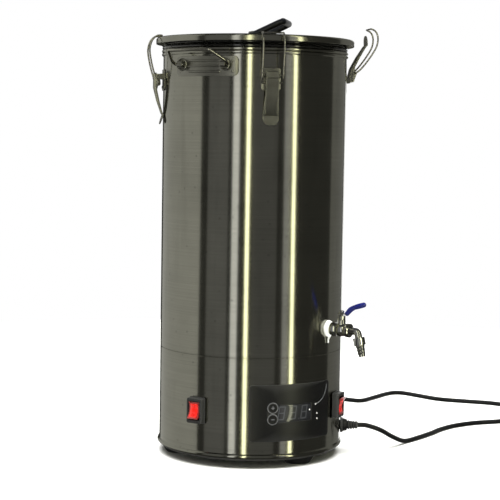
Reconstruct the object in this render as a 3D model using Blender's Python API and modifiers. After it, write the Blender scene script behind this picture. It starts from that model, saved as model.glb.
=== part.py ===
"""Electric brew kettle: a steel vessel on a heated base, clamped lid, drain tap and control panel.

Units are metres, +Z is up and the front panel faces -Y. The origin is on the table, in the middle
of the footprint. Each object is one physical piece; empties carry the pieces that move together.
A place on the wall is given by its angle around the kettle (0 at the panel, positive towards +X)
and its height; a local frame there has X along the wall, -Y outward and +Z up.
"""

import math

import bmesh
import bpy
from mathutils import Matrix, Vector

# ---- driving dimensions ----------------------------------------------------------------------
CLEARANCE = 0.0003
WALL = 0.0012
KETTLE_RADIUS = 0.150
KETTLE_AXIS = (-0.005, 0.016)   # the tap and the open latch widen the footprint to one side
ROUND_STEPS = 48            # facets of a large turned piece
SMALL_STEPS = 20            # facets of a small turned piece

# heights above the table
PAN_BOTTOM = 0.0125
BEAD_BOTTOM = 0.016
SEAM_HEIGHT = 0.176
VESSEL_HEIGHT = 0.4732      # seam to the line under the neck beads
BEAD_HEIGHT = 0.0054        # each of the two neck beads
SEAL_SHOWING = 0.0090       # dark band between the neck and the lid's rim
LID_RIM_HEIGHT = 0.0105
NECK_HEIGHT = SEAM_HEIGHT + VESSEL_HEIGHT
RIM_HEIGHT = NECK_HEIGHT + 2 * BEAD_HEIGHT
LID_BOTTOM = RIM_HEIGHT + SEAL_SHOWING
LID_TOP = LID_BOTTOM + LID_RIM_HEIGHT

# vessel and base
SEAM_GAP = 0.0010
FLOOR_ABOVE_SEAM = 0.012
FLOOR_FILLET = 0.010
BEAD_BULGE = 0.0025
RIM_LIP = 0.008
FOOT_BEAD_HEIGHT = 0.007
FOOT_BEAD_BULGE = 0.003
PAN_EDGE = 0.014
ELEMENT = (0.105, 0.008)    # radius and thickness
CUTOUT = (0.012, 0.010)
SENSOR = (0.006, 0.012)
SENSOR_ANGLE = -30.0
FEET = {"front": 13.0, "left": -107.0, "right": 133.0}
FOOT_CIRCLE = 0.119
FOOT_TOP_RADIUS = 0.027
FOOT_SOLE_RADIUS = 0.019

# lid
LID_OVERHANG = 0.012
LID_RECESS = 0.004
LID_SPIGOT_GAP = 0.0035
LID_SPIGOT_DEPTH = 0.012
LID_HANDLE_YAW = 52.0       # way the lid's handle leans, as an angle around the kettle
LID_HANDLE_SPAN = 0.074
LID_HANDLE_REACH = 0.055
LID_HANDLE_ROD = 0.0050
LID_HANDLE_LEAN = 25.0      # above level
LID_MOUNT = (0.058, 0.020, 0.0165)

# panel on the base
PANEL_HEIGHT = 0.089
PANEL_SIZE = (0.148, 0.090)
PANEL_THICKNESS = 0.0018
PANEL_OPENING = (0.095, 0.053)      # hole in the base wall behind the panel
PANEL_OPENING_SHIFT = -0.008
PANEL_CORNER = 0.006
WINDOW_SIZE = (0.055, 0.027)
WINDOW_OFFSET = (0.0008, -0.001)
BUTTON_ANGLE = -14.1
BUTTON_HEIGHTS = {"plus": 0.0976, "minus": 0.0793}
BUTTON_RADIUS = 0.0077
BUTTON_PROUD = 0.0008
BOARD_SIZE = (0.104, 0.0016, 0.066)
BOARD_DEPTH = 0.024         # board behind the wall

# switches
SWITCHES = {"left": (-61.0, 11.0), "right": (39.0, -11.0)}   # angle, tilt of the rocker
SWITCH_HEIGHT = 0.089
CASE_SIZE = (0.028, 0.040)
CASE_PROUD = 0.012
CASE_BODY = (0.0235, 0.0325)
CASE_BODY_DEPTH = 0.020
ROCKER_SIZE = (0.0190, 0.0272)
ROCKER_PIVOT = 0.009        # pivot out from the wall
ROCKER_GAP = 0.0009

# tap
TAP_ANGLE = 27.0
TAP_HEIGHT = 0.217
TAP_BODY_RADIUS = 0.0105
TAP_BODY_END = 0.043
TAP_TAIL_RADIUS = 0.0080
TAP_TAIL_LENGTH = 0.0120
TAP_BORE_RADIUS = 0.0045
TAP_BALL_RADIUS = 0.0072
TAP_STEM_OUT = 0.026
TAP_STEM_RADIUS = 0.0022
TAP_STEM_TOP = 0.0315       # above the tap's axis
TAP_SEAL_RADIUS = 0.0130
TAP_SEAL_END = 0.0100       # tape's outer face, out from the wall
BACKNUT_RADIUS = 0.0135
BACKNUT_HEIGHT = 0.0050
PACKING_NUT = (0.0062, 0.0165, 0.0235)      # radius, bottom and top above the tap's axis
LEVER_NUT = (0.0046, 0.0035)                # radius and height
TAP_LEVER_HEIGHT = 0.0252   # underside of the lever above the tap's axis
TAP_LEVER_METAL = 0.0018
TAP_LEVER_WIDTH = 0.0090
SLEEVE_RADIUS = 0.0042
SLEEVE_PATH = ((0.0105, 0.0015), (0.0190, 0.0100), (0.0270, 0.0130), (0.0490, 0.0165))
ELBOW_OUT = 0.0560
ELBOW_DROP = 0.013
ELBOW_PIPE_RADIUS = 0.0078
OUTLET_LEAN = 14.0          # barb's axis away from upright
OUTLET_BORE_RADIUS = 0.0042
COLLAR_RADIUS = 0.0090
COLLAR_HEIGHT = 0.0075
BARB_LENGTH = 0.018
BARB_RADIUS = 0.0064
BARB_PITCH = 0.0050

# latches: P is the lever's pin, Q the wire's seat on the lever; both out from the wall
LATCHES = {"front": (-18.5, 0.0), "right": (71.5, 166.0), "back": (161.5, 0.0), "left": (-108.5, 0.0)}
LATCH_SWING = 166.0
WIRE_SWING = 188.0          # wire against lever over the same motion
LATCH_PIN_OUT = 0.0110
LATCH_PIN_BELOW_LID = 0.0630
LATCH_PIN_RADIUS = 0.0015
SEAT_OUT = 0.0095
SEAT_BELOW_PIN = 0.0120
LEVER_WIDTH = 0.023
LEVER_METAL = 0.0014
LEVER_LENGTH = 0.0745
WIRE_RADIUS = 0.0014
WIRE_SPAN = LEVER_WIDTH + 0.010
BRACKET_SIZE = (LEVER_WIDTH + 0.007, 0.034)
EAR_SPACING = LEVER_WIDTH + LEVER_METAL + 0.0010    # outside the lever, so that it can swing up

# carrying handles
HANDLES = {"left": -60.0, "right": 120.0}
HANDLE_HEIGHT = 0.6300
PLATE_SIZE = (0.117, 0.031)
PLATE_METAL = 0.0020
LUG_SPACING = 0.080
LUG_OUT = 0.0065
LUG_ABOVE_CENTRE = 0.0025
LUG_RADIUS = 0.0060
LUG_LENGTH = 0.012
BAIL_ROD = 0.0024
BAIL_REACH = 0.042
BAIL_LEAN = 29.0            # above level

# mains cord
GLAND_ANGLE = 60.0
GLAND_HEIGHT = 0.045
GLAND_TAIL_RADIUS = 0.0080
GLAND_LENGTH = 0.030
CORD_RADIUS = 0.0040
CORD_POINTS = 66
PLUG_RADIUS = 0.0180
PLUG_LENGTH = 0.040
PIN_RADIUS = 0.0024
PIN_LENGTH = 0.019
PIN_SPACING = 0.019

# route of the cord from the gland's mouth to the plug, chosen by hand
CORD_ROUTE = (
    (0.1516, -0.0745, 0.045), (0.1635, -0.0813, 0.0448), (0.188, -0.087, 0.036),
    (0.223, -0.073, 0.0185), (0.259, -0.054, 0.005), (0.295, -0.039, 0.004),
    (0.343, -0.014, 0.004), (0.376, 0.006, 0.004), (0.421, 0.024, 0.004), (0.472, 0.03, 0.004),
    (0.526, 0.024, 0.004), (0.582, 0.03, 0.004), (0.627, 0.063, 0.004), (0.641, 0.119, 0.004),
    (0.623, 0.174, 0.004), (0.587, 0.214, 0.004), (0.551, 0.254, 0.004), (0.536, 0.297, 0.004),
    (0.525, 0.334, 0.004), (0.512, 0.351, 0.004), (0.487, 0.349, 0.004), (0.432, 0.32, 0.004),
    (0.396, 0.304, 0.004), (0.377, 0.325, 0.004), (0.357, 0.356, 0.004), (0.327, 0.385, 0.004),
    (0.283, 0.409, 0.004), (0.232, 0.42, 0.004), (0.173, 0.415, 0.004), (0.121, 0.393, 0.004),
    (0.086, 0.353, 0.004), (0.08, 0.303, 0.004), (0.101, 0.263, 0.0065), (0.13, 0.241, 0.013),
    (0.162, 0.224, 0.0183),
)

# ---- colours ---------------------------------------------------------------------------------
STEEL = ((0.23, 0.23, 0.20), 0.32, 1.0)
BRIGHT_STEEL = ((0.55, 0.55, 0.52), 0.18, 1.0)
BLACK_PLASTIC = ((0.012, 0.012, 0.012), 0.35, 0.0)
BLACK_RUBBER = ((0.015, 0.015, 0.015), 0.75, 0.0)
SMOKED_WINDOW = ((0.010, 0.010, 0.012), 0.08, 0.0)
RED_PLASTIC = ((0.62, 0.012, 0.010), 0.25, 0.0)
BLUE_VINYL = ((0.010, 0.16, 0.62), 0.35, 0.0)
WHITE_TAPE = ((0.85, 0.85, 0.82), 0.60, 0.0)
CHROME = ((0.62, 0.62, 0.60), 0.12, 1.0)
BOARD_GREEN = ((0.02, 0.16, 0.06), 0.50, 0.0)

OUTWARD = Matrix.Rotation(math.pi / 2, 4, "X")      # turns a piece's own Z to point off the wall
SIDEWAYS = Matrix(((0, 0, 1, 0), (1, 0, 0, 0), (0, 1, 0, 0), (0, 0, 0, 1)))


# ---- scene helpers ---------------------------------------------------------------------------
def clear_scene():
    for old in list(bpy.data.objects):
        bpy.data.objects.remove(old, do_unlink=True)


def collection(name):
    made = bpy.data.collections.new(name)
    bpy.context.scene.collection.children.link(made)
    return made


clear_scene()
PARTS = collection("brew_kettle")
CUTTERS = collection("cutters")


def material(name, look):
    colour, roughness, metallic = look
    made = bpy.data.materials.new(name)
    made.use_nodes = True
    shader = made.node_tree.nodes["Principled BSDF"]
    shader.inputs["Base Color"].default_value = (*colour, 1.0)
    shader.inputs["Roughness"].default_value = roughness
    shader.inputs["Metallic"].default_value = metallic
    return made


def add_object(name, data, look, matrix=None, parent=None, cutter=False):
    """Links a mesh or curve as an object; under a parent the matrix is the parent's local one."""
    made = bpy.data.objects.new(name, data)
    if cutter:
        CUTTERS.objects.link(made)
        made.hide_render = True
        made.display_type = "WIRE"
    else:
        PARTS.objects.link(made)
        if look and not data.materials:
            data.materials.append(material(name, look))
    made.parent = parent
    made.matrix_local = matrix or Matrix()
    return made


def empty(name, matrix, parent=None):
    made = bpy.data.objects.new(name, None)
    PARTS.objects.link(made)
    made.empty_display_size = 0.02
    made.parent = parent
    made.matrix_local = matrix
    return made


def on_wall(angle, height, out=0.0, radius=KETTLE_RADIUS):
    """Local frame on the kettle's wall: X along the wall, -Y outward, Z up."""
    turn = Matrix.Translation((*KETTLE_AXIS, 0)) @ Matrix.Rotation(math.radians(angle), 4, "Z")
    return turn @ Matrix.Translation((0, -radius - out, height))


def on_axis(height=0.0):
    return Matrix.Translation((*KETTLE_AXIS, height))


def smooth(mesh, angle=35.0):
    mesh.shade_smooth()
    mesh.set_sharp_from_angle(angle=math.radians(angle))


def baked(source, name):
    """The evaluated mesh of an object, welded; the object itself is removed."""
    bpy.context.view_layer.update()
    graph = bpy.context.evaluated_depsgraph_get()
    mesh = bpy.data.meshes.new_from_object(source.evaluated_get(graph))
    mesh.name = name
    bpy.data.objects.remove(source, do_unlink=True)
    bm = bmesh.new()
    bm.from_mesh(mesh)
    bmesh.ops.remove_doubles(bm, verts=bm.verts, dist=0.00001)
    bm.to_mesh(mesh)
    bm.free()
    return mesh


def boolean(target, tool, operation="DIFFERENCE"):
    modifier = target.modifiers.new(operation.lower(), "BOOLEAN")
    modifier.object = tool
    modifier.operation = operation
    modifier.solver = "EXACT"


# ---- shapes ----------------------------------------------------------------------------------
def arc(centre, radius, start, end, steps):
    """Points on a circle from start to end, in degrees."""
    turns = [math.radians(start + (end - start) * i / steps) for i in range(steps + 1)]
    return [(centre[0] + radius * math.cos(t), centre[1] + radius * math.sin(t)) for t in turns]


def turned(name, outline, look, matrix=None, ring=False, steps=SMALL_STEPS, **placing):
    """A profile of (radius, height) points turned about Z; a ring's profile closes on itself."""
    mesh = bpy.data.meshes.new(name)
    count = len(outline)
    edges = [(i, (i + 1) % count) for i in range(count if ring else count - 1)]
    mesh.from_pydata([(r, 0.0, z) for r, z in outline], edges, [])
    made = add_object(name, mesh, look, matrix, **placing)
    screw = made.modifiers.new("turn", "SCREW")
    screw.steps = steps
    screw.render_steps = steps
    screw.use_merge_vertices = True
    screw.merge_threshold = 0.00005
    screw.use_smooth_shade = True
    return made


def disc_outline(radius, low, high):
    return [(0.0, high), (radius, high), (radius, low), (0.0, low)]


def rod(name, radius, low, high, look, matrix=None, steps=SMALL_STEPS, **placing):
    return turned(name, disc_outline(radius, low, high), look, matrix, steps=steps, **placing)


def tube_mesh(name, points, radius, resolution=2):
    """A wire along a list of points, with closed ends."""
    curve = bpy.data.curves.new(name, "CURVE")
    curve.dimensions = "3D"
    curve.bevel_depth = radius
    curve.bevel_resolution = resolution
    curve.use_fill_caps = True
    spline = curve.splines.new("POLY")
    spline.points.add(len(points) - 1)
    for point, place in zip(spline.points, points):
        point.co = (*place, 1.0)
    return curve


def flat_mesh(name, outline, thickness):
    """An outline in the XY plane given a thickness along Z, as a closed mesh."""
    curve = bpy.data.curves.new(name, "CURVE")
    curve.dimensions = "2D"
    curve.fill_mode = "BOTH"
    curve.extrude = thickness / 2
    spline = curve.splines.new("POLY")
    spline.points.add(len(outline) - 1)
    spline.use_cyclic_u = True
    for point, (x, y) in zip(spline.points, outline):
        point.co = (x, y, 0.0, 1.0)
    holder = bpy.data.objects.new(name, curve)
    CUTTERS.objects.link(holder)
    return baked(holder, name)


def side_piece(name, outline, thickness, shift=0.0):
    """A plate seen from the side: (out, up) points, its thickness along X, centred at shift."""
    mesh = flat_mesh(name, [(-out, up) for out, up in outline], thickness)
    mesh.transform(Matrix.Translation((shift, 0, 0)) @ SIDEWAYS)
    return mesh


def block_mesh(name, size, centre=(0.0, 0.0, 0.0), bevel=0.0, segments=2, upright_only=False):
    """A box, with all its edges or only those along Y rounded."""
    bm = bmesh.new()
    bmesh.ops.create_cube(bm, size=1.0)
    bmesh.ops.scale(bm, vec=size, verts=bm.verts)
    if bevel:
        edges = bm.edges[:]
        if upright_only:
            edges = [e for e in edges if abs((e.verts[0].co - e.verts[1].co).y) > size[1] / 2]
        bmesh.ops.bevel(bm, geom=edges, offset=bevel, segments=segments, profile=0.5, affect="EDGES")
    bmesh.ops.translate(bm, vec=centre, verts=bm.verts)
    mesh = bpy.data.meshes.new(name)
    bm.to_mesh(mesh)
    bm.free()
    smooth(mesh)
    return mesh


def wrap(mesh, radius=KETTLE_RADIUS, strips=10):
    """Bends a flat plate round the kettle: X runs along the wall, -Y stays outward."""
    bm = bmesh.new()
    bm.from_mesh(mesh)
    half = max(v.co.x for v in bm.verts)
    for i in range(1, strips):
        x = -half + 2 * half * i / strips
        everything = bm.verts[:] + bm.edges[:] + bm.faces[:]
        bmesh.ops.bisect_plane(bm, geom=everything, plane_co=(x, 0, 0), plane_no=(1, 0, 0))
    for v in bm.verts:
        turn, reach = v.co.x / radius, radius - v.co.y
        v.co.x = reach * math.sin(turn)
        v.co.y = radius - reach * math.cos(turn)
    bm.to_mesh(mesh)
    bm.free()
    return mesh


def wrapped_plate(name, size, thickness, look, matrix, corner=0.003, offset=(0.0, 0.0), strips=10):
    """A plate with rounded corners that lies on the wall with the usual clearance."""
    centre = (offset[0], -CLEARANCE - thickness / 2, offset[1])
    mesh = block_mesh(name, (size[0], thickness, size[1]), centre, corner, 3, True)
    return add_object(name, wrap(mesh, strips=strips), look, matrix)


def hex_nut(name, radius, hole, low, high, matrix=None, parent=None):
    """Six-sided nut with a round hole; radius is to its corners."""
    nut = rod(name, radius, low, high, CHROME, matrix, 6, parent=parent)
    boolean(nut, cutting_rod(f"hole_{name}", hole, low - 0.002, high + 0.002, matrix, 16, parent))


def cutting_rod(name, radius, low, high, matrix, steps=SMALL_STEPS, parent=None):
    return rod(name, radius, low, high, None, matrix, steps, cutter=True, parent=parent)


def cutting_block(name, size, centre, matrix, parent=None):
    return add_object(name, block_mesh(name, size, centre), None, matrix, parent, True)


def smooth_route(points, count):
    """Points at even spacing along a Catmull-Rom curve through the given ones."""
    ends = [2 * points[0] - points[1], *points, 2 * points[-1] - points[-2]]
    fine = []
    for a, b, c, d in zip(ends, ends[1:], ends[2:], ends[3:]):
        for i in range(24):
            t = i / 24
            bend = (2 * a - 5 * b + 4 * c - d) * t ** 2 + (3 * b - a - 3 * c + d) * t ** 3
            fine.append((2 * b + (c - a) * t + bend) / 2)
    fine.append(points[-1])
    lengths = [0.0]
    for a, b in zip(fine, fine[1:]):
        lengths.append(lengths[-1] + (b - a).length)
    route, at = [], 0
    for i in range(count):
        want = lengths[-1] * i / (count - 1)
        while at < len(fine) - 2 and lengths[at + 1] < want:
            at += 1
        share = (want - lengths[at]) / (lengths[at + 1] - lengths[at])
        route.append(fine[at].lerp(fine[at + 1], min(share, 1.0)))
    return route


def rounded_path(points, radius, steps=3):
    """The same path with each inner corner replaced by an arc of the given radius."""
    path = [points[0]]
    for before, corner, after in zip(points, points[1:], points[2:]):
        back, forth = (before - corner).normalized(), (after - corner).normalized()
        half = back.angle(forth) / 2
        reach = min(radius / math.tan(half), (before - corner).length / 2, (after - corner).length / 2)
        centre = corner + (back + forth).normalized() * reach / math.cos(half)
        start, end = corner + back * reach - centre, corner + forth * reach - centre
        for i in range(steps + 1):
            turn = Matrix.Rotation(start.angle(end) * i / steps, 3, start.cross(end))
            path.append(centre + turn @ start)
    path.append(points[-1])
    return path


# ---- base ------------------------------------------------------------------------------------
def base_shroud():
    """Base wall with a rolled foot bead and a joggled top edge that fits inside the vessel's skirt."""
    outer, inner = KETTLE_RADIUS, KETTLE_RADIUS - WALL
    fit = inner - CLEARANCE
    top, bead = SEAM_HEIGHT - SEAM_GAP / 2, BEAD_BOTTOM + FOOT_BEAD_HEIGHT / 2
    roll = [
        (outer + FOOT_BEAD_BULGE * math.sin(t), bead + FOOT_BEAD_HEIGHT / 2 * math.cos(t))
        for t in (math.radians(20 + 28 * i) for i in range(6))
    ]
    outline = [
        (fit, top + 0.008), (fit, top), (outer, top), (outer, bead + FOOT_BEAD_HEIGHT / 2), *roll,
        (inner, BEAD_BOTTOM), (inner, top - 0.004), (fit - WALL, top), (fit - WALL, top + 0.008),
    ]
    shroud = turned("base_shroud", outline, STEEL, on_axis(), ring=True, steps=ROUND_STEPS)
    size = (PANEL_OPENING[0], 0.02, PANEL_OPENING[1])
    boolean(shroud, cutting_block("cut_panel", size, (PANEL_OPENING_SHIFT, 0, 0), on_wall(0, PANEL_HEIGHT)))
    for side, (angle, _) in SWITCHES.items():
        size = (CASE_BODY[0] + 2 * CLEARANCE, 0.02, CASE_BODY[1] + 2 * CLEARANCE)
        boolean(shroud, cutting_block(f"cut_case_{side}", size, (0, 0, 0), on_wall(angle, SWITCH_HEIGHT)))
    boolean(shroud, cutting_rod(
        "cut_gland", GLAND_TAIL_RADIUS + CLEARANCE, -0.01, 0.01,
        on_wall(GLAND_ANGLE, GLAND_HEIGHT) @ OUTWARD))


def base_pan():
    """Moulded tray that closes the base from below."""
    outer = KETTLE_RADIUS - WALL - CLEARANCE
    floor, edge = PAN_BOTTOM + 0.002, BEAD_BOTTOM + PAN_EDGE
    outline = [
        (0.0, floor), (outer - 0.004, floor), (outer - 0.002, edge), (outer, edge),
        (outer, BEAD_BOTTOM), (outer - 0.002, PAN_BOTTOM), (0.0, PAN_BOTTOM),
    ]
    turned("base_pan", outline, BLACK_PLASTIC, on_axis(), steps=ROUND_STEPS)


def feet():
    outline = [
        (0.0, PAN_BOTTOM - CLEARANCE), (FOOT_TOP_RADIUS, PAN_BOTTOM - CLEARANCE),
        (FOOT_SOLE_RADIUS + 0.001, 0.001), (FOOT_SOLE_RADIUS, 0.0), (0.0, 0.0),
    ]
    for side, angle in FEET.items():
        turned(f"foot_{side}", outline, BLACK_RUBBER, on_wall(angle, 0, radius=FOOT_CIRCLE))


def heating_parts():
    """Element plate, thermal cut-out and temperature sensor pressed under the vessel's floor."""
    under = SEAM_HEIGHT + FLOOR_ABOVE_SEAM - WALL - CLEARANCE
    radius, thickness = ELEMENT
    rod("heating_element", radius, under - thickness, under, BRIGHT_STEEL, on_axis(), steps=32)
    below = under - thickness - CLEARANCE
    radius, height = CUTOUT
    rod("thermal_cutout", radius, below - height, below, BLACK_PLASTIC, on_axis())
    radius, height = SENSOR
    beside = ELEMENT[0] + radius + (KETTLE_RADIUS - WALL - ELEMENT[0]) / 3
    rod("temperature_sensor", radius, under - height, under, BRIGHT_STEEL,
        on_wall(SENSOR_ANGLE, 0, radius=beside))


def control_board():
    mesh = block_mesh("control_board", BOARD_SIZE, (0, BOARD_DEPTH, 0))
    add_object("control_board", mesh, BOARD_GREEN, on_wall(0, PANEL_HEIGHT))


# ---- control panel ---------------------------------------------------------------------------
def control_panel():
    """Glossy fascia wrapped round the base, with a window and holes for the two buttons."""
    frame = on_wall(0, PANEL_HEIGHT)
    fascia = wrapped_plate("panel_fascia", PANEL_SIZE, PANEL_THICKNESS, BLACK_PLASTIC, frame,
                           PANEL_CORNER, strips=14)
    opening = (WINDOW_SIZE[0] + 2 * CLEARANCE, 0.03, WINDOW_SIZE[1] + 2 * CLEARANCE)
    centre = (WINDOW_OFFSET[0], 0, WINDOW_OFFSET[1])
    boolean(fascia, cutting_block("cut_window", opening, centre, frame))
    window = wrapped_plate("display_window", (2 * WINDOW_SIZE[0], PANEL_SIZE[1]),
                           PANEL_THICKNESS - 0.0003, SMOKED_WINDOW, frame, strips=14)
    keep = cutting_block("keep_window", (WINDOW_SIZE[0], 0.03, WINDOW_SIZE[1]), centre, frame)
    boolean(window, keep, "INTERSECT")
    for sign, height in BUTTON_HEIGHTS.items():
        place = on_wall(BUTTON_ANGLE, height) @ OUTWARD
        boolean(fascia, cutting_rod(f"cut_{sign}", BUTTON_RADIUS + CLEARANCE, -0.01, 0.01, place, 24))
        face = CLEARANCE + PANEL_THICKNESS + BUTTON_PROUD
        rod(f"button_{sign}", BUTTON_RADIUS, face - 0.006, face, BLACK_PLASTIC, place, 24)


def switch(side, angle, tilt):
    """Hooded case snapped through the base wall, with a rocker on a pivot across it."""
    frame = on_wall(angle, SWITCH_HEIGHT)
    front, back = CASE_PROUD, CLEARANCE
    case_mesh = block_mesh(f"switch_case_{side}", (CASE_SIZE[0], front + 0.004, CASE_SIZE[1]),
                           (0, -(front - 0.004) / 2, 0), 0.0025, 2, True)
    case = add_object(f"switch_case_{side}", case_mesh, BLACK_PLASTIC, frame)
    boolean(case, cutting_rod(f"cut_wall_{side}", KETTLE_RADIUS + back, 0.0, SEAM_HEIGHT, on_axis(), 96))
    body = block_mesh(f"body_{side}", (CASE_BODY[0], CASE_BODY_DEPTH, CASE_BODY[1]),
                      (0, CASE_BODY_DEPTH / 2 - 0.003, 0))
    boolean(case, add_object(f"body_{side}", body, None, frame, None, True), "UNION")
    pocket = (ROCKER_SIZE[0] + 2 * ROCKER_GAP, 0.028, ROCKER_SIZE[1] + 2 * ROCKER_GAP)
    boolean(case, cutting_block(f"cut_rocker_{side}", pocket, (0, -0.006, 0), frame))

    half = ROCKER_SIZE[1] / 2
    crown = arc((0.0245, 0.0), 0.0225, 180 - 36, 180 + 36, 6)
    outline = [(-0.0075, -0.008), (-0.0075, 0.008), (0.0030, half), *crown, (0.0030, -half)]
    mesh = side_piece(f"switch_rocker_{side}", outline, ROCKER_SIZE[0])
    pivot = frame @ Matrix.Translation((0, -ROCKER_PIVOT, 0))
    rocker = add_object(f"switch_rocker_{side}", mesh, RED_PLASTIC,
                        pivot @ Matrix.Rotation(math.radians(-tilt), 4, "X"))
    rocker.data.shade_flat()


# ---- vessel ----------------------------------------------------------------------------------
def kettle_vessel():
    """Straight wall with a welded floor, two beads at the neck and a lip turned in at the rim."""
    outer, inner = KETTLE_RADIUS, KETTLE_RADIUS - WALL
    floor = SEAM_HEIGHT + FLOOR_ABOVE_SEAM
    skirt = SEAM_HEIGHT + SEAM_GAP / 2
    beads = []
    for i in (1, 0):
        middle = NECK_HEIGHT + (i + 0.5) * BEAD_HEIGHT
        beads += [
            (outer + BEAD_BULGE * math.cos(t), middle + BEAD_HEIGHT / 2 * math.sin(t))
            for t in (math.radians(75 - 50 * k) for k in range(4))
        ]
    outline = [
        (0.0, floor), *arc((inner - FLOOR_FILLET, floor + FLOOR_FILLET), FLOOR_FILLET, -90, 0, 4),
        (inner, RIM_HEIGHT - 0.006), (outer - RIM_LIP, RIM_HEIGHT - WALL),
        (outer - RIM_LIP, RIM_HEIGHT), *beads,
        (outer, NECK_HEIGHT - 0.0005), (outer, skirt), (inner, skirt), (inner, floor - WALL),
        (0.0, floor - WALL),
    ]
    vessel = turned("kettle_vessel", outline, STEEL, on_axis(), steps=ROUND_STEPS)
    boolean(vessel, cutting_rod(
        "cut_tap", TAP_TAIL_RADIUS + CLEARANCE, -0.01, 0.01, on_wall(TAP_ANGLE, TAP_HEIGHT) @ OUTWARD))


# ---- lid -------------------------------------------------------------------------------------
def lid():
    """Pressed lid with a rolled rim, its seal and the folding handle on top."""
    lift = empty("lid_lift", on_axis())
    outer = KETTLE_RADIUS + LID_OVERHANG
    deck = LID_TOP - LID_RECESS
    spigot = KETTLE_RADIUS - RIM_LIP - LID_SPIGOT_GAP
    low = RIM_HEIGHT - LID_SPIGOT_DEPTH
    roll = arc((outer - 0.004, LID_TOP - 0.004), 0.004, 90, 0, 3)
    outline = [
        (0.0, deck), (spigot, deck), (spigot + 0.004, LID_TOP), *roll,
        (outer, LID_BOTTOM), (outer - WALL, LID_BOTTOM), (outer - WALL, LID_TOP - 0.0045),
        (outer - 0.0045, LID_TOP - WALL), (spigot + 0.0044, LID_TOP - WALL), (spigot, LID_TOP - 0.0056),
        (spigot, low), (spigot - WALL, low), (spigot - WALL, deck - WALL), (0.0, deck - WALL),
    ]
    turned("lid_shell", outline, STEEL, ring=False, steps=ROUND_STEPS, parent=lift)
    inner, high = spigot + 0.006, LID_TOP - WALL - CLEARANCE
    seal = [
        (KETTLE_RADIUS + 0.0005, high), (KETTLE_RADIUS + 0.0005, RIM_HEIGHT + CLEARANCE),
        (inner, RIM_HEIGHT + CLEARANCE), (inner, high),
    ]
    turned("lid_seal", seal, BLACK_RUBBER, ring=True, steps=ROUND_STEPS, parent=lift)

    lean = Matrix.Rotation(math.radians(LID_HANDLE_YAW), 4, "Z")
    width, depth, height = LID_MOUNT
    pivot_height = deck + CLEARANCE + height - LID_HANDLE_ROD - 0.0035
    mount_mesh = block_mesh("lid_handle_mount", LID_MOUNT, (0, 0, deck + CLEARANCE + height / 2), 0.003)
    mount = add_object("lid_handle_mount", mount_mesh, BLACK_PLASTIC, lean, lift)
    socket = LID_HANDLE_ROD + 2 * CLEARANCE
    across = Matrix.Translation((0, 0, pivot_height)) @ Matrix.Rotation(math.pi / 2, 4, "Y")
    for name, low, high in (("a", -width, 0.015 - width / 2), ("b", width / 2 - 0.015, width)):
        boolean(mount, cutting_rod(f"cut_socket_{name}", socket, low, high, lean @ across, parent=lift))

    half, end = LID_HANDLE_SPAN / 2, width / 2 - 0.014
    reach = LID_HANDLE_REACH
    corners = [(-end, 0), (-half, 0), (-half, reach), (half, reach), (half, 0), (end, 0)]
    path = rounded_path([Vector((x, -out, 0)) for x, out in corners], 0.009)
    pivot = lean @ Matrix.Translation((0, 0, pivot_height))
    tilt = Matrix.Rotation(math.radians(-LID_HANDLE_LEAN), 4, "X")
    add_object("lid_handle", tube_mesh("lid_handle", path, LID_HANDLE_ROD, 3), BLACK_PLASTIC,
               pivot @ tilt, lift)


# ---- latches ---------------------------------------------------------------------------------
def bracket_mesh():
    """Riveted base plate with two ears that hold the lever's pin."""
    size = (BRACKET_SIZE[0], LEVER_METAL, BRACKET_SIZE[1])
    plate = block_mesh("bracket_plate", size, (0, -CLEARANCE - LEVER_METAL / 2, -0.006), 0.004, 3, True)
    bracket = add_object("bracket", wrap(plate, strips=5), None)
    root, tip = CLEARANCE, LATCH_PIN_OUT
    nose = arc((tip, 0), 0.0034, 80, -80, 5)
    ear = [(root, 0.0045), *nose, (root, -0.0050)]
    tools = []
    for side in (-1, 1):
        mesh = side_piece("ear", ear, LEVER_METAL, side * EAR_SPACING / 2)
        tools.append(add_object("ear", mesh, None, cutter=True))
        boolean(bracket, tools[-1], "UNION")
    tools.append(pin_cut(Matrix.Translation((0, -LATCH_PIN_OUT, 0)), LATCH_PIN_RADIUS))
    boolean(bracket, tools[-1])
    mesh = baked(bracket, "latch_bracket")
    for tool in tools:
        bpy.data.objects.remove(tool, do_unlink=True)
    return mesh


def pin_cut(place, radius):
    """Cutter for a running hole across the latch."""
    across = place @ Matrix.Rotation(math.pi / 2, 4, "Y")
    return cutting_rod("cut_pin", radius + CLEARANCE, -LEVER_WIDTH, LEVER_WIDTH, across, 12)


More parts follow.
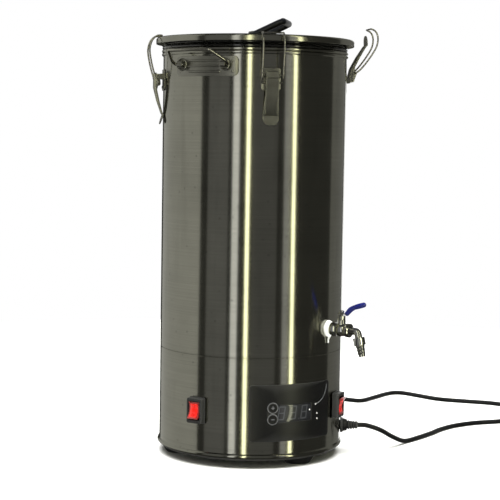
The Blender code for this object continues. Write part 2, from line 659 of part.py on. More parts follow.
def lever_mesh():
    """Strap with two cheeks, about its own pin: +Z towards the lid when the latch is shut."""
    back = 0.0058                     # strap's inner face out from the pin, at the top
    foot = -0.0090                    # the same at the lip
    low, lip = 0.010 - LEVER_LENGTH, -LEVER_LENGTH
    metal = LEVER_METAL
    strap = [
        (back - 0.0030, 0.0060), (back, 0.0045), (back, -0.0180), (foot, low), (foot + 0.0015, lip + 0.003),
        (foot + 0.0055, lip), (foot + 0.0055, lip + metal), (foot + 0.0015 + metal, lip + 0.0045),
        (foot + metal, low), (back + metal, -0.0180), (back + metal, 0.0050), (back - 0.0025, 0.0074),
    ]
    lever = add_object("lever", side_piece("lever", strap, LEVER_WIDTH), None)
    seat_out, seat_up = SEAT_OUT - LATCH_PIN_OUT, -SEAT_BELOW_PIN
    cheek = [
        (back + metal / 2, 0.0045), (0.0, 0.0040), (-0.0036, 0.0010),
        *arc((seat_out, seat_up), 0.0036, 180, 290, 4), (back + metal / 2, -0.0280),
    ]
    tools = []
    for side in (-1, 1):
        shift = side * (LEVER_WIDTH - metal) / 2
        tools.append(add_object("cheek", side_piece("cheek", cheek, metal, shift), None, cutter=True))
        boolean(lever, tools[-1], "UNION")
    for place, radius in (((0, 0, 0), LATCH_PIN_RADIUS), ((0, -seat_out, seat_up), WIRE_RADIUS)):
        tools.append(pin_cut(Matrix.Translation(place), radius))
        boolean(lever, tools[-1])
    mesh = baked(lever, "latch_lever")
    for tool in tools:
        bpy.data.objects.remove(tool, do_unlink=True)
    return mesh


def wire_path():
    """Half of the sprung wire, from its seat in the lever up and over the lid's rim."""
    over = LATCH_PIN_BELOW_LID + WIRE_RADIUS + 2 * CLEARANCE
    bow = [
        (SEAT_OUT, -SEAT_BELOW_PIN), (0.0150, -0.0020), (0.0205, 0.0160), (0.0245, 0.0370),
        (0.0240, 0.0480), (0.0205, 0.0575), (0.0150, over - 0.0016), (0.0105, over), (0.0050, over),
    ]
    return [(out - SEAT_OUT, up + SEAT_BELOW_PIN) for out, up in bow]


def wire_mesh():
    """The whole wire about its seat: two bowed legs, a crossbar and ends turned in to the seats."""
    half, end = WIRE_SPAN / 2, LEVER_WIDTH / 2 - LEVER_METAL - 0.0008
    legs = [Vector((half, -out, up)) for out, up in wire_path()]
    legs = smooth_route(legs, 10)
    other = [Vector((-p.x, p.y, p.z)) for p in reversed(legs)]
    path = [Vector((end, 0, 0)), *legs, *other, Vector((-end, 0, 0))]
    corner = 0.0030
    path[1] += (path[2] - path[1]).normalized() * corner
    path[-2] = Vector((-path[1].x, path[1].y, path[1].z))
    turn_in = [Vector((half - corner, 0, 0)), Vector((half - corner * 0.4, 0, corner * 0.2))]
    path[1:1] = turn_in
    path[-1:-1] = [Vector((-p.x, p.y, p.z)) for p in reversed(turn_in)]
    return tube_mesh("latch_wire", path, WIRE_RADIUS)


def latches():
    """Over-centre toggle latches: a lever on a pinned bracket pulls a sprung wire onto the lid."""
    bracket, lever, wire = bracket_mesh(), lever_mesh(), wire_mesh()
    for mesh, look, name in ((bracket, STEEL, "latch_bracket"), (lever, BRIGHT_STEEL, "latch_lever"),
                             (wire, BRIGHT_STEEL, "latch_wire")):
        mesh.materials.append(material(name, look))
    for side, (angle, opening) in LATCHES.items():
        frame = on_wall(angle, LID_TOP - LATCH_PIN_BELOW_LID)
        add_object(f"latch_bracket_{side}", bracket, STEEL, frame)
        pin = frame @ Matrix.Translation((0, -LATCH_PIN_OUT, 0))
        half = (EAR_SPACING + LEVER_METAL) / 2 + 0.0005
        rod(f"latch_pin_{side}", LATCH_PIN_RADIUS, -half, half, BRIGHT_STEEL,
            pin @ Matrix.Rotation(math.pi / 2, 4, "Y"), 10)
        swing = Matrix.Rotation(math.radians(-opening), 4, "X")
        moved = add_object(f"latch_lever_{side}", lever, BRIGHT_STEEL, pin @ swing)
        back = math.radians(opening * WIRE_SWING / LATCH_SWING)
        seat = Matrix.Translation((0, LATCH_PIN_OUT - SEAT_OUT, -SEAT_BELOW_PIN))
        add_object(f"latch_wire_{side}", wire, BRIGHT_STEEL, seat @ Matrix.Rotation(back, 4, "X"), moved)


# ---- carrying handles ------------------------------------------------------------------------
def carrying_handle(side, angle):
    """Pressed plate with two lugs and a wire bail whose ends turn in the lugs."""
    frame = on_wall(angle, HANDLE_HEIGHT)
    plate = wrapped_plate(f"handle_plate_{side}", PLATE_SIZE, PLATE_METAL, STEEL, frame, 0.008, strips=8)
    pivot = Matrix.Translation((0, -LUG_OUT, LUG_ABOVE_CENTRE))
    across = Matrix.Rotation(math.pi / 2, 4, "Y")
    places = {end: pivot @ Matrix.Translation((end * LUG_SPACING / 2, 0, 0)) for end in (-1, 1)}
    barrel = LUG_LENGTH / 2 + 0.0004
    for end, place in places.items():
        foot = (LUG_LENGTH, 2 * LUG_OUT, 2 * LUG_RADIUS - 0.001)
        block = cutting_block(f"lug_foot_{side}_{end}", foot, (0, LUG_OUT, 0), frame @ place)
        boolean(plate, block, "UNION")
        lug = rod(f"lug_{side}_{end}", LUG_RADIUS, -barrel, barrel, None, frame @ place @ across, 16,
                  cutter=True)
        boolean(plate, lug, "UNION")
    for end, place in places.items():
        hole = cutting_rod(f"cut_lug_{side}_{end}", BAIL_ROD + 2 * CLEARANCE, -LUG_LENGTH, LUG_LENGTH,
                           frame @ place @ across, 12)
        boolean(plate, hole)
    low, high = HANDLE_HEIGHT - PLATE_SIZE[1], HANDLE_HEIGHT + PLATE_SIZE[1]
    boolean(plate, cutting_rod(f"cut_back_{side}", KETTLE_RADIUS + CLEARANCE, low, high, on_axis(), 96))

    inside = (LUG_SPACING - LUG_LENGTH) / 2 + 0.001
    outside = (LUG_SPACING + LUG_LENGTH) / 2 + BAIL_ROD + 0.0013
    half = [(inside, 0), (outside, 0), (outside, 0.012), (LUG_SPACING / 2 - 0.002, BAIL_REACH)]
    path = [Vector((-x, -out, 0)) for x, out in half] + [Vector((x, -out, 0)) for x, out in reversed(half)]
    tilt = Matrix.Rotation(math.radians(-BAIL_LEAN), 4, "X")
    wire = tube_mesh(f"carry_handle_{side}", rounded_path(path, 0.0030), BAIL_ROD)
    add_object(f"carry_handle_{side}", wire, BRIGHT_STEEL, frame @ pivot @ tilt)


# ---- drain tap -------------------------------------------------------------------------------
def tap_valve(axis, stem):
    """Valve body round a ball cavity, with the stem's neck and packing nut on top."""
    tail, bore, body = TAP_TAIL_RADIUS, TAP_BORE_RADIUS, TAP_BODY_RADIUS
    waist, shoulder = body - 0.0012, TAP_SEAL_END + CLEARANCE
    cavity = TAP_BALL_RADIUS + 2 * CLEARANCE
    half = math.sqrt(cavity ** 2 - bore ** 2)
    inside = [
        (math.sqrt(max(cavity ** 2 - d ** 2, bore ** 2)), TAP_STEM_OUT + d)
        for d in (-half, -half / 2, 0.0, half / 2, half)
    ]
    outline = [
        (bore, TAP_BODY_END), (body - 0.001, TAP_BODY_END), (body, TAP_BODY_END - 0.001),
        (body, TAP_STEM_OUT + 0.011), (waist, TAP_STEM_OUT + 0.010),
        (waist, TAP_STEM_OUT - 0.009), (body, TAP_STEM_OUT - 0.010), (body, shoulder),
        (tail, shoulder), (tail, -TAP_TAIL_LENGTH), (bore, -TAP_TAIL_LENGTH), *inside,
    ]
    valve = turned("tap_body", outline, CHROME, axis, ring=True)
    radius, low, high = PACKING_NUT
    neck = rod("neck", radius - 0.0010, TAP_BALL_RADIUS + 0.0013, low - CLEARANCE, None, stem, 16,
               cutter=True)
    boolean(valve, neck, "UNION")
    stem_hole = TAP_STEM_RADIUS + CLEARANCE
    boolean(valve, cutting_rod("cut_stem", stem_hole, 0.004, TAP_LEVER_HEIGHT, stem, 12))
    hex_nut("tap_packing_nut", radius, stem_hole, low, high, stem)


def tap_seal(axis):
    """Thread tape between the valve and the wall, and the nut inside the vessel."""
    sagitta = KETTLE_RADIUS - math.sqrt(KETTLE_RADIUS ** 2 - TAP_SEAL_RADIUS ** 2)
    hole = TAP_TAIL_RADIUS + CLEARANCE
    outer, end = TAP_SEAL_RADIUS, TAP_SEAL_END
    outline = [
        (outer - 0.0005, end - 0.001), (outer, end - 0.002), (outer, -sagitta), (hole, -sagitta),
        (hole, end), (outer - 0.0015, end),
    ]
    seal = turned("tap_sealing_tape", outline, WHITE_TAPE, axis, ring=True)
    low, high = TAP_HEIGHT - 2 * outer, TAP_HEIGHT + 2 * outer
    boolean(seal, cutting_rod("cut_seal", KETTLE_RADIUS + CLEARANCE, low, high, on_axis(), 96))
    top = -WALL - 2 * CLEARANCE - sagitta
    hex_nut("tap_backnut", BACKNUT_RADIUS, hole, top - BACKNUT_HEIGHT, top, axis)


def tap_handle(stem):
    """Ball with its stem, and the cranked lever in a dipped sleeve; all turn about the stem."""
    pivot = empty("tap_turn", stem)
    sphere = bmesh.new()
    bmesh.ops.create_uvsphere(sphere, u_segments=16, v_segments=10, radius=TAP_BALL_RADIUS)
    mesh = bpy.data.meshes.new("tap_ball")
    sphere.to_mesh(mesh)
    sphere.free()
    smooth(mesh)
    ball = add_object("tap_ball", mesh, CHROME, parent=pivot)
    shaft = rod("shaft", TAP_STEM_RADIUS, 0.004, TAP_STEM_TOP, None, steps=12, cutter=True, parent=pivot)
    boolean(ball, shaft, "UNION")
    boolean(ball, cutting_rod("cut_ball", TAP_BORE_RADIUS, -0.02, 0.02, OUTWARD, 16, pivot))

    low, high = TAP_LEVER_HEIGHT, TAP_LEVER_HEIGHT + TAP_LEVER_METAL
    hole = TAP_STEM_RADIUS + CLEARANCE
    tip = SLEEVE_PATH[0][0] - 0.001
    strip = [(-0.006, low), (tip, low), (tip, high), (-0.006, high)]
    lever = add_object("tap_lever", side_piece("tap_lever", strip, TAP_LEVER_WIDTH), CHROME, parent=pivot)
    boolean(lever, cutting_rod("cut_lever", hole, low - 0.005, high + 0.005, None, 12, pivot))
    path = rounded_path([Vector((0, -out, low + up)) for out, up in SLEEVE_PATH], 0.010)
    add_object("tap_lever_sleeve", tube_mesh("tap_lever_sleeve", path, SLEEVE_RADIUS, 3), BLUE_VINYL,
               parent=pivot)
    radius, height = LEVER_NUT
    hex_nut("tap_lever_nut", radius, hole, high + CLEARANCE, high + CLEARANCE + height, parent=pivot)


def tap_outlet(frame):
    """Elbow on the valve's end, then a collar and a hose barb that lean away from the wall."""
    down = frame @ Matrix.Translation((0, -ELBOW_OUT, 0))
    down = down @ Matrix.Rotation(math.radians(-OUTLET_LEAN), 4, "X")
    to_frame = frame.inverted() @ down
    start = Vector((0, -TAP_BODY_END - CLEARANCE, 0))
    corner = Vector((0, -ELBOW_OUT, 0))
    for name, first, drop, bend, radius in (
            ("tap_elbow", start, ELBOW_DROP, 0.0075, ELBOW_PIPE_RADIUS),
            ("elbow_bore", start + Vector((0, 0.01, 0)), 0.03, 0.0062, OUTLET_BORE_RADIUS)):
        path = rounded_path([first, corner, to_frame @ Vector((0, 0, -drop))], bend, 5)
        holder = bpy.data.objects.new(name, tube_mesh(name, path, radius, 3))
        CUTTERS.objects.link(holder)
        mesh = baked(holder, name)
        if name == "tap_elbow":
            elbow = add_object(name, mesh, CHROME, frame)
        else:
            boolean(elbow, add_object(name, mesh, None, frame, cutter=True))
    bore, top = OUTLET_BORE_RADIUS, -ELBOW_DROP - CLEARANCE
    low = top - COLLAR_HEIGHT
    outline = [(bore, top), (COLLAR_RADIUS, top), (COLLAR_RADIUS, low), (BARB_RADIUS - 0.0006, low)]
    for i in range(3):
        ridge = low - 0.0018 - i * BARB_PITCH
        radius = BARB_RADIUS - 0.0003 * i
        outline += [(radius, ridge), (radius - 0.0012, ridge - BARB_PITCH + 0.0010)]
    outline += [(bore + 0.0006, low - BARB_LENGTH), (bore, low - BARB_LENGTH)]
    turned("hose_barb", outline, CHROME, down, ring=True, steps=18)


def drain_tap():
    """Ball valve sealed into the wall, with a lever on its stem and a hose barb on its elbow."""
    frame = on_wall(TAP_ANGLE, TAP_HEIGHT)
    stem = frame @ Matrix.Translation((0, -TAP_STEM_OUT, 0))
    tap_valve(frame @ OUTWARD, stem)
    tap_seal(frame @ OUTWARD)
    tap_handle(stem)
    tap_outlet(frame)


# ---- mains cord ------------------------------------------------------------------------------
def mains_cord():
    """Gland in the base wall, the cord on the table and its moulded plug."""
    place = on_wall(GLAND_ANGLE, GLAND_HEIGHT) @ OUTWARD
    bore, tail = CORD_RADIUS + CLEARANCE, GLAND_TAIL_RADIUS
    outline = [
        (0.0, GLAND_LENGTH), (bore + 0.0012, GLAND_LENGTH), (bore + 0.0034, 0.0140),
        (tail + 0.0015, 0.0120), (tail + 0.0030, 0.0060), (tail + 0.0045, 0.0055),
        (tail + 0.0045, 0.0010), (tail, 0.0010), (tail, -0.0090), (0.0, -0.0090),
    ]
    turned("cord_gland", outline, BLACK_PLASTIC, place)
    route = [Vector(point) for point in CORD_ROUTE]
    cord = tube_mesh("mains_cord", smooth_route(route, CORD_POINTS), CORD_RADIUS)
    add_object("mains_cord", cord, BLACK_RUBBER)
    along = (route[-1] - route[-2]).normalized()
    turn = along.to_track_quat("Z", "X").to_matrix().to_4x4()
    seat = Matrix.Translation(route[-1] + along * CLEARANCE) @ turn
    body = [
        (0.0, PLUG_LENGTH), (PLUG_RADIUS - 0.001, PLUG_LENGTH), (PLUG_RADIUS, PLUG_LENGTH - 0.001),
        (PLUG_RADIUS, PLUG_LENGTH * 0.55), (0.0095, 0.0080), (0.0062, 0.0), (0.0, 0.0),
    ]
    plug = turned("mains_plug", body, BLACK_PLASTIC, seat)
    for end in (-1, 1):
        spot = seat @ Matrix.Translation((0, end * PIN_SPACING / 2, 0))
        pin = rod(f"pin_{end}", PIN_RADIUS, PLUG_LENGTH - 0.004, PLUG_LENGTH + PIN_LENGTH, None, spot, 10,
                  cutter=True)
        boolean(plug, pin, "UNION")


def build():
    base_shroud()
    base_pan()
    feet()
    heating_parts()
    control_board()
    control_panel()
    for side, (angle, tilt) in SWITCHES.items():
        switch(side, angle, tilt)
    kettle_vessel()
    lid()
    latches()
    for side, angle in HANDLES.items():
        carrying_handle(side, angle)
    drain_tap()
    mains_cord()


build()
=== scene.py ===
"""Electric brew kettle: the fine surfaces, finishes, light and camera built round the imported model.

Lengths are metres, +Z is up and the control panel faces -Y. A place on the body is given by its
angle round the kettle (0 at the panel, positive towards +X) and its height; the local frame there
has X along the wall, -Y outward and Z up.
"""

from __future__ import annotations

import logging
import math
from dataclasses import dataclass
from enum import Enum
from typing import Iterable, Sequence

import bmesh
import bpy
from bmesh.types import BMesh, BMEdge, BMVert
from mathutils import Matrix, Vector, noise


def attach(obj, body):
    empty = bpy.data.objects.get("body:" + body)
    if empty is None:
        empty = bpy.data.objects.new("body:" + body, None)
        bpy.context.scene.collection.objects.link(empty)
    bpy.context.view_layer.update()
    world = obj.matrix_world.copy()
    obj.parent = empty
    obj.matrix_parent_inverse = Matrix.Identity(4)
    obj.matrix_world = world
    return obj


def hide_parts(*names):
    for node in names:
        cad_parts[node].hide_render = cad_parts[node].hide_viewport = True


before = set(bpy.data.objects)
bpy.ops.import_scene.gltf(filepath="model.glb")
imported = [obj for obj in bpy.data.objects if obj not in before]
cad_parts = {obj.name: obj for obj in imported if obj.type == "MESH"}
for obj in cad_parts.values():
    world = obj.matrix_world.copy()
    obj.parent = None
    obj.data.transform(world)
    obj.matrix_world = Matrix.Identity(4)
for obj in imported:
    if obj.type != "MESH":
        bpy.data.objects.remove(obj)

LOG = logging.getLogger("brew_kettle")
MM = 0.001
FULL_TURN = 2 * math.pi
Outline = list[tuple[float, float]]


# ---- finishes --------------------------------------------------------------------------------
def linear(hex_colour: str, shade: float = 1.0) -> tuple[float, float, float, float]:
    """Turns an sRGB hex colour into the linear values a shader takes.

    Args:
        hex_colour: Six hex digits after a hash sign.
        shade: Multiplies the linear values, for a lighter or darker tone of the same colour.

    Returns:
        Red, green, blue and alpha.
    """
    parts = [int(hex_colour[i:i + 2], 16) / 255 for i in (1, 3, 5)]
    flat = [p / 12.92 if p <= 0.04045 else ((p + 0.055) / 1.055) ** 2.4 for p in parts]
    return (*(min(p * shade, 1.0) for p in flat), 1.0)


def add_node(tree: bpy.types.NodeTree, kind: str, settings: dict | None = None,
             links: dict | None = None) -> bpy.types.Node:
    """Adds a node with its settings and links.

    Args:
        tree: The node tree it goes in.
        kind: The node's type, without the ShaderNode that starts every name.
        settings: Values by property name, or by the name or identifier of an input.
        links: Output sockets by the name or identifier of the input they feed.

    Returns:
        The new node.
    """
    node = tree.nodes.new(f"ShaderNode{kind}")
    sockets = {}
    for key, value in (settings or {}).items():
        if hasattr(node, key):
            setattr(node, key, value)
        else:
            sockets[key] = value
    inputs = {s.name: s for s in reversed(node.inputs)} | {s.identifier: s for s in node.inputs}
    for key, value in sockets.items():
        inputs[key].default_value = value
    for key, source in (links or {}).items():
        tree.links.new(source, inputs[key])
    return node


class Pattern(Enum):
    """How a surface's fine grain runs."""

    GRAIN = "fine grain with no direction"
    AROUND = "brush lines round the body, on an upright wall"
    TURNED = "brush lines in circles on a flat turned face"
    DRAWN = "faint lines along an upright or slanting strip"
    SMOOTH = "a slow ripple only"


@dataclass(frozen=True)
class Finish:
    """A material and how its surface was made.

    Grain and blotch are real sizes in millimetres; a grain too fine to show is drawn as coarse as
    it needs to be to read at arm's length.
    """

    name: str
    colour: str
    roughness: float
    metallic: float = 0.0
    ior: float = 1.5
    pattern: Pattern = Pattern.GRAIN
    grain_mm: float = 1.0
    grain_depth_mm: float = 0.01
    blotch_mm: float = 60.0
    blotch: float = 0.10            # how much lightness varies from patch to patch
    sheen_swing: float = 0.05       # how much roughness varies from patch to patch
    coat: float = 0.0
    coat_roughness: float = 0.05
    stretch: float = 0.0            # highlight drawn out across the brush lines
    specks: float = 0.0             # share of dried splashes and dust
    worn_edges: float = 0.0
    # painted glow: emission that makes a part give off light though it is no lamp
    painted_glow: float = 0.0

    def material(self) -> bpy.types.Material:
        """Makes the finish's material, once.

        Returns:
            The material, shared by every piece with this finish.
        """
        known = bpy.data.materials.get(self.name)
        if known:
            return known
        made = bpy.data.materials.new(self.name)
        made.use_nodes = True
        tree = made.node_tree
        shader = tree.nodes["Principled BSDF"]
        settings = {
            "Metallic": self.metallic, "Coat Weight": self.coat,
            "Coat Roughness": self.coat_roughness,
        }
        if not self.metallic:
            settings["IOR"] = self.ior
        if self.stretch:
            settings |= {"Anisotropic": self.stretch, "Anisotropic Rotation": 0.25}
        # Emission here is a painted glow, not a lamp.
        if self.painted_glow:
            settings |= {"Emission Color": linear(self.colour), "Emission Strength": self.painted_glow}
        for key, value in settings.items():
            shader.inputs[key].default_value = value
        place = add_node(tree, "TexCoord").outputs["Object"]
        blotch = add_node(tree, "TexNoise", {"Scale": 1000 / self.blotch_mm, "Detail": 4.0},
                          {"Vector": place}).outputs["Fac"]
        tone = self._ramp(tree, blotch, (0.30, linear(self.colour, 1 - self.blotch)),
                          (0.70, linear(self.colour, 1 + self.blotch)))
        grain = self._grain(tree, place)
        if self.pattern in (Pattern.AROUND, Pattern.TURNED, Pattern.DRAWN):
            tone = self._multiply(tree, tone, self._ramp(
                tree, grain, (0.30, (0.84, 0.84, 0.84, 1)), (0.70, (1, 1, 1, 1))))
        if self.specks:
            tone = self._specks(tree, place, tone)
        if self.worn_edges:
            tone = self._wear(tree, tone)
        swing = add_node(tree, "MapRange", {
            "To Min": max(self.roughness - self.sheen_swing, 0.02),
            "To Max": min(self.roughness + self.sheen_swing, 1.0)}, {"Value": blotch})
        tree.links.new(tone, shader.inputs["Base Color"])
        tree.links.new(swing.outputs["Result"], shader.inputs["Roughness"])
        bump = add_node(tree, "Bump", {"Strength": 1.0, "Distance": self.grain_depth_mm * MM},
                        {"Height": grain})
        tree.links.new(bump.outputs["Normal"], shader.inputs["Normal"])
        if self.stretch:
            tangent = add_node(tree, "Tangent", {"direction_type": "RADIAL", "axis": "Z"})
            tree.links.new(tangent.outputs["Tangent"], shader.inputs["Tangent"])
        return made

    def _grain(self, tree: bpy.types.NodeTree, place: bpy.types.NodeSocket) -> bpy.types.NodeSocket:
        """Height of the fine grain, 0 to 1.

        Args:
            tree: The material's nodes.
            place: Object coordinates, in metres.

        Returns:
            The height's socket.
        """
        fine = 1000 / self.grain_mm
        long_line = 4.0             # brush lines fade over about a quarter of a metre
        scale = {
            Pattern.GRAIN: (fine, fine, fine), Pattern.SMOOTH: (fine, fine, fine),
            Pattern.AROUND: (long_line, long_line, fine), Pattern.DRAWN: (fine, fine, fine * 0.04),
            Pattern.TURNED: (fine, 1.0, 1.0),
        }[self.pattern]
        if self.pattern is Pattern.TURNED:
            centred = add_node(tree, "Mapping", {"Location": (-BODY.axis[0], -BODY.axis[1], 0)},
                               {"Vector": place}).outputs["Vector"]
            flat = add_node(tree, "VectorMath", {"operation": "MULTIPLY", "Vector_001": (1, 1, 0)},
                            {"Vector": centred}).outputs["Vector"]
            out = add_node(tree, "VectorMath", {"operation": "LENGTH"}, {"Vector": flat})
            line = add_node(tree, "CombineXYZ", None, {"X": out.outputs["Value"]})
            place = line.outputs["Vector"]
        spread = add_node(tree, "Mapping", {"Scale": scale}, {"Vector": place}).outputs["Vector"]
        detail = 1.0 if self.pattern is Pattern.SMOOTH else 5.0
        return add_node(tree, "TexNoise", {"Scale": 1.0, "Detail": detail, "Roughness": 0.6},
                        {"Vector": spread}).outputs["Fac"]

    @staticmethod
    def _ramp(tree: bpy.types.NodeTree, source: bpy.types.NodeSocket,
              low: tuple, high: tuple) -> bpy.types.NodeSocket:
        """A two-stop colour ramp over a source, each stop given as position and colour."""
        ramp = add_node(tree, "ValToRGB", None, {"Fac": source})
        for stop, (position, colour) in zip(ramp.color_ramp.elements, (low, high)):
            stop.position = position
            stop.color = colour
        return ramp.outputs["Color"]

    @staticmethod
    def _multiply(tree: bpy.types.NodeTree, base: bpy.types.NodeSocket,
                  over: bpy.types.NodeSocket) -> bpy.types.NodeSocket:
        """The two colours multiplied together."""
        mix = add_node(tree, "Mix", {"data_type": "RGBA", "blend_type": "MULTIPLY",
                                     "Factor_Float": 1.0}, {"A_Color": base, "B_Color": over})
        return next(s for s in mix.outputs if s.identifier == "Result_Color")

    def _specks(self, tree: bpy.types.NodeTree, place: bpy.types.NodeSocket,
                tone: bpy.types.NodeSocket) -> bpy.types.NodeSocket:
        """Adds dried splashes: small soft-edged spots and a few faint runs.

        Args:
            tree: The material's nodes.
            place: Object coordinates, in metres.
            tone: The colour so far.

        Returns:
            The darkened colour.
        """
        spots = add_node(tree, "TexVoronoi", {"Scale": 55.0, "Randomness": 1.0}, {"Vector": place})
        dots = self._ramp(tree, spots.outputs["Distance"], (0.06, (1 - self.specks,) * 3 + (1,)),
                          (0.13, (1, 1, 1, 1)))
        runs_at = add_node(tree, "Mapping", {"Scale": (45.0, 45.0, 5.0)}, {"Vector": place})
        runs = add_node(tree, "TexNoise", {"Scale": 1.0, "Detail": 3.0},
                        {"Vector": runs_at.outputs["Vector"]})
        streaks = self._ramp(tree, runs.outputs["Fac"], (0.28, (1 - self.specks / 2,) * 3 + (1,)),
                             (0.46, (1, 1, 1, 1)))
        return self._multiply(tree, self._multiply(tree, tone, dots), streaks)

    def _wear(self, tree: bpy.types.NodeTree, tone: bpy.types.NodeSocket) -> bpy.types.NodeSocket:
        """Lightens the edges, where handling has rubbed them."""
        edge = add_node(tree, "NewGeometry").outputs["Pointiness"]
        share = self._ramp(tree, edge, (0.52, (0, 0, 0, 1)), (0.60, (self.worn_edges,) * 3 + (1,)))
        mix = add_node(tree, "Mix", {"data_type": "RGBA", "B_Color": linear("#8A8A86")},
                       {"Factor_Float": share, "A_Color": tone})
        return next(s for s in mix.outputs if s.identifier == "Result_Color")


# Stainless steel sheet, brushed round the body: fine level lines, highlights drawn out upright
WALL_STEEL = Finish("stainless_brushed_wall", "#A3A297", 0.17, 1.0, pattern=Pattern.AROUND,
                    grain_mm=0.9, grain_depth_mm=0.004, blotch_mm=90, blotch=0.10, sheen_swing=0.03,
                    stretch=0.90, specks=0.22)
# The same sheet turned flat: circular lines on the lid's deck
LID_STEEL = Finish("stainless_turned_lid", "#A3A297", 0.15, 1.0, pattern=Pattern.TURNED,
                   grain_mm=0.9, grain_depth_mm=0.004, blotch=0.10, sheen_swing=0.04, specks=0.14)
# Pressed stainless strip, tumbled: soft sheen with faint rolling lines
STRIP_STEEL = Finish("stainless_pressed_strip", "#9C9B92", 0.36, 1.0, pattern=Pattern.DRAWN,
                     grain_mm=0.6, grain_depth_mm=0.005, blotch_mm=18, sheen_swing=0.08)
# Drawn stainless wire: bright, slightly wavy highlight
WIRE_STEEL = Finish("stainless_drawn_wire", "#B0AEA4", 0.16, 1.0, pattern=Pattern.SMOOTH,
                    grain_mm=9.0, grain_depth_mm=0.01, blotch_mm=25, sheen_swing=0.05)
# Nickel-chrome plate on brass: mirror-like, with water marks that dull it in patches
TAP_CHROME = Finish("plated_chrome", "#C4C4C0", 0.09, 1.0, pattern=Pattern.SMOOTH, grain_mm=5.0,
                    grain_depth_mm=0.02, blotch_mm=7, blotch=0.06, sheen_swing=0.06)
# Silicone lip seal: black and wet-looking, so that it mirrors the lights dimly
SEAL_SILICONE = Finish("silicone_seal", "#11110F", 0.14, ior=1.45, pattern=Pattern.SMOOTH,
                       grain_mm=12, grain_depth_mm=0.01, blotch=0.25, sheen_swing=0.05, coat=0.6)
# Rubber feet: matt, finely pitted
FOOT_RUBBER = Finish("nitrile_rubber", "#141414", 0.72, ior=1.52, grain_mm=0.8,
                     grain_depth_mm=0.03, blotch=0.2)
# Moulded ABS with a spark-eroded texture, rubbed grey on its edges
BLACK_ABS = Finish("abs_moulded_black", "#171717", 0.42, ior=1.54, grain_mm=0.7,
                   grain_depth_mm=0.015, blotch=0.2, worn_edges=0.25)
# Phenolic grip: harder and glossier than ABS
GRIP_PHENOLIC = Finish("phenolic_grip", "#0A0B0F", 0.40, ior=1.5, grain_mm=1.4, grain_depth_mm=0.01,
                       blotch=0.2)
# PVC sheath of the mains lead: satin, slightly wavy
CORD_PVC = Finish("pvc_sheath", "#101011", 0.38, ior=1.53, pattern=Pattern.SMOOTH, grain_mm=6.0,
                  grain_depth_mm=0.05, blotch=0.2)
# Polycarbonate overlay of the control panel: back-printed black, matt
PANEL_FILM = Finish("polycarbonate_overlay", "#09090A", 0.45, ior=1.58, grain_mm=2.0,
                    grain_depth_mm=0.004, blotch=0.3, sheen_swing=0.08, coat=0.12,
                    coat_roughness=0.30, worn_edges=0.35)
# Smoked acrylic in front of the digits
SMOKED_ACRYLIC = Finish("smoked_acrylic", "#1A1B1E", 0.30, ior=1.49, pattern=Pattern.SMOOTH,
                        grain_mm=9.0, grain_depth_mm=0.004, blotch=0.2, sheen_swing=0.02, coat=1.0)
# Grey screen ink, a little patchy
PRINT_INK = Finish("screen_ink_grey", "#77797B", 0.5, grain_mm=0.5, grain_depth_mm=0.002,
                   blotch=0.25, blotch_mm=6)
# Unlit display segments seen through the smoked window
DARK_SEGMENT = Finish("unlit_segment", "#3C3E41", 0.45, grain_mm=0.5, grain_depth_mm=0.002,
                      blotch=0.15, blotch_mm=6, coat=0.8)
# Indicator lamp, cloudy white resin
LAMP_RESIN = Finish("lamp_resin", "#D9D9D4", 0.3, grain_mm=0.6, grain_depth_mm=0.002, blotch=0.05)
# Red polycarbonate rocker: dark red frame with a brighter red moulded lens, which also carries a
# faint painted glow though the switch is unlit
ROCKER_FRAME = Finish("polycarbonate_red_frame", "#7E1410", 0.24, ior=1.58, grain_mm=1.0,
                      grain_depth_mm=0.004, blotch=0.15, coat=0.7, worn_edges=0.1)
ROCKER_LENS = Finish("polycarbonate_red_lens", "#D2190F", 0.16, ior=1.58, grain_mm=1.2,
                     grain_depth_mm=0.004, blotch=0.12, blotch_mm=8, coat=1.0, painted_glow=0.12)
# Dipped vinyl sleeve: thick, soft gloss with an orange-peel skin
SLEEVE_VINYL = Finish("dipped_vinyl_blue", "#0B1560", 0.36, ior=1.53, pattern=Pattern.SMOOTH,
                      grain_mm=2.0, grain_depth_mm=0.04, blotch=0.12, blotch_mm=12, coat=0.5)
# PTFE thread tape wound on thick and smeared with sealant: chalky white
THREAD_TAPE = Finish("ptfe_tape", "#EDEEE9", 0.62, ior=1.38, grain_mm=1.6, grain_depth_mm=0.15,
                     blotch=0.08, blotch_mm=6)
# Glass-epoxy board, cast aluminium element and its turned fittings, all inside the base
BOARD_LAMINATE = Finish("glass_epoxy_green", "#1F5B33", 0.4, grain_mm=0.8, blotch=0.15, coat=0.3)
CAST_ALUMINIUM = Finish("cast_aluminium", "#B5B5B2", 0.5, 1.0, grain_mm=1.2, grain_depth_mm=0.05)
# Painted studio floor
FLOOR_PAINT = Finish("pale_floor_paint", "#F4F4F1", 0.75, grain_mm=3.0, grain_depth_mm=0.01,
                     blotch_mm=900, blotch=0.01, sheen_swing=0.03)


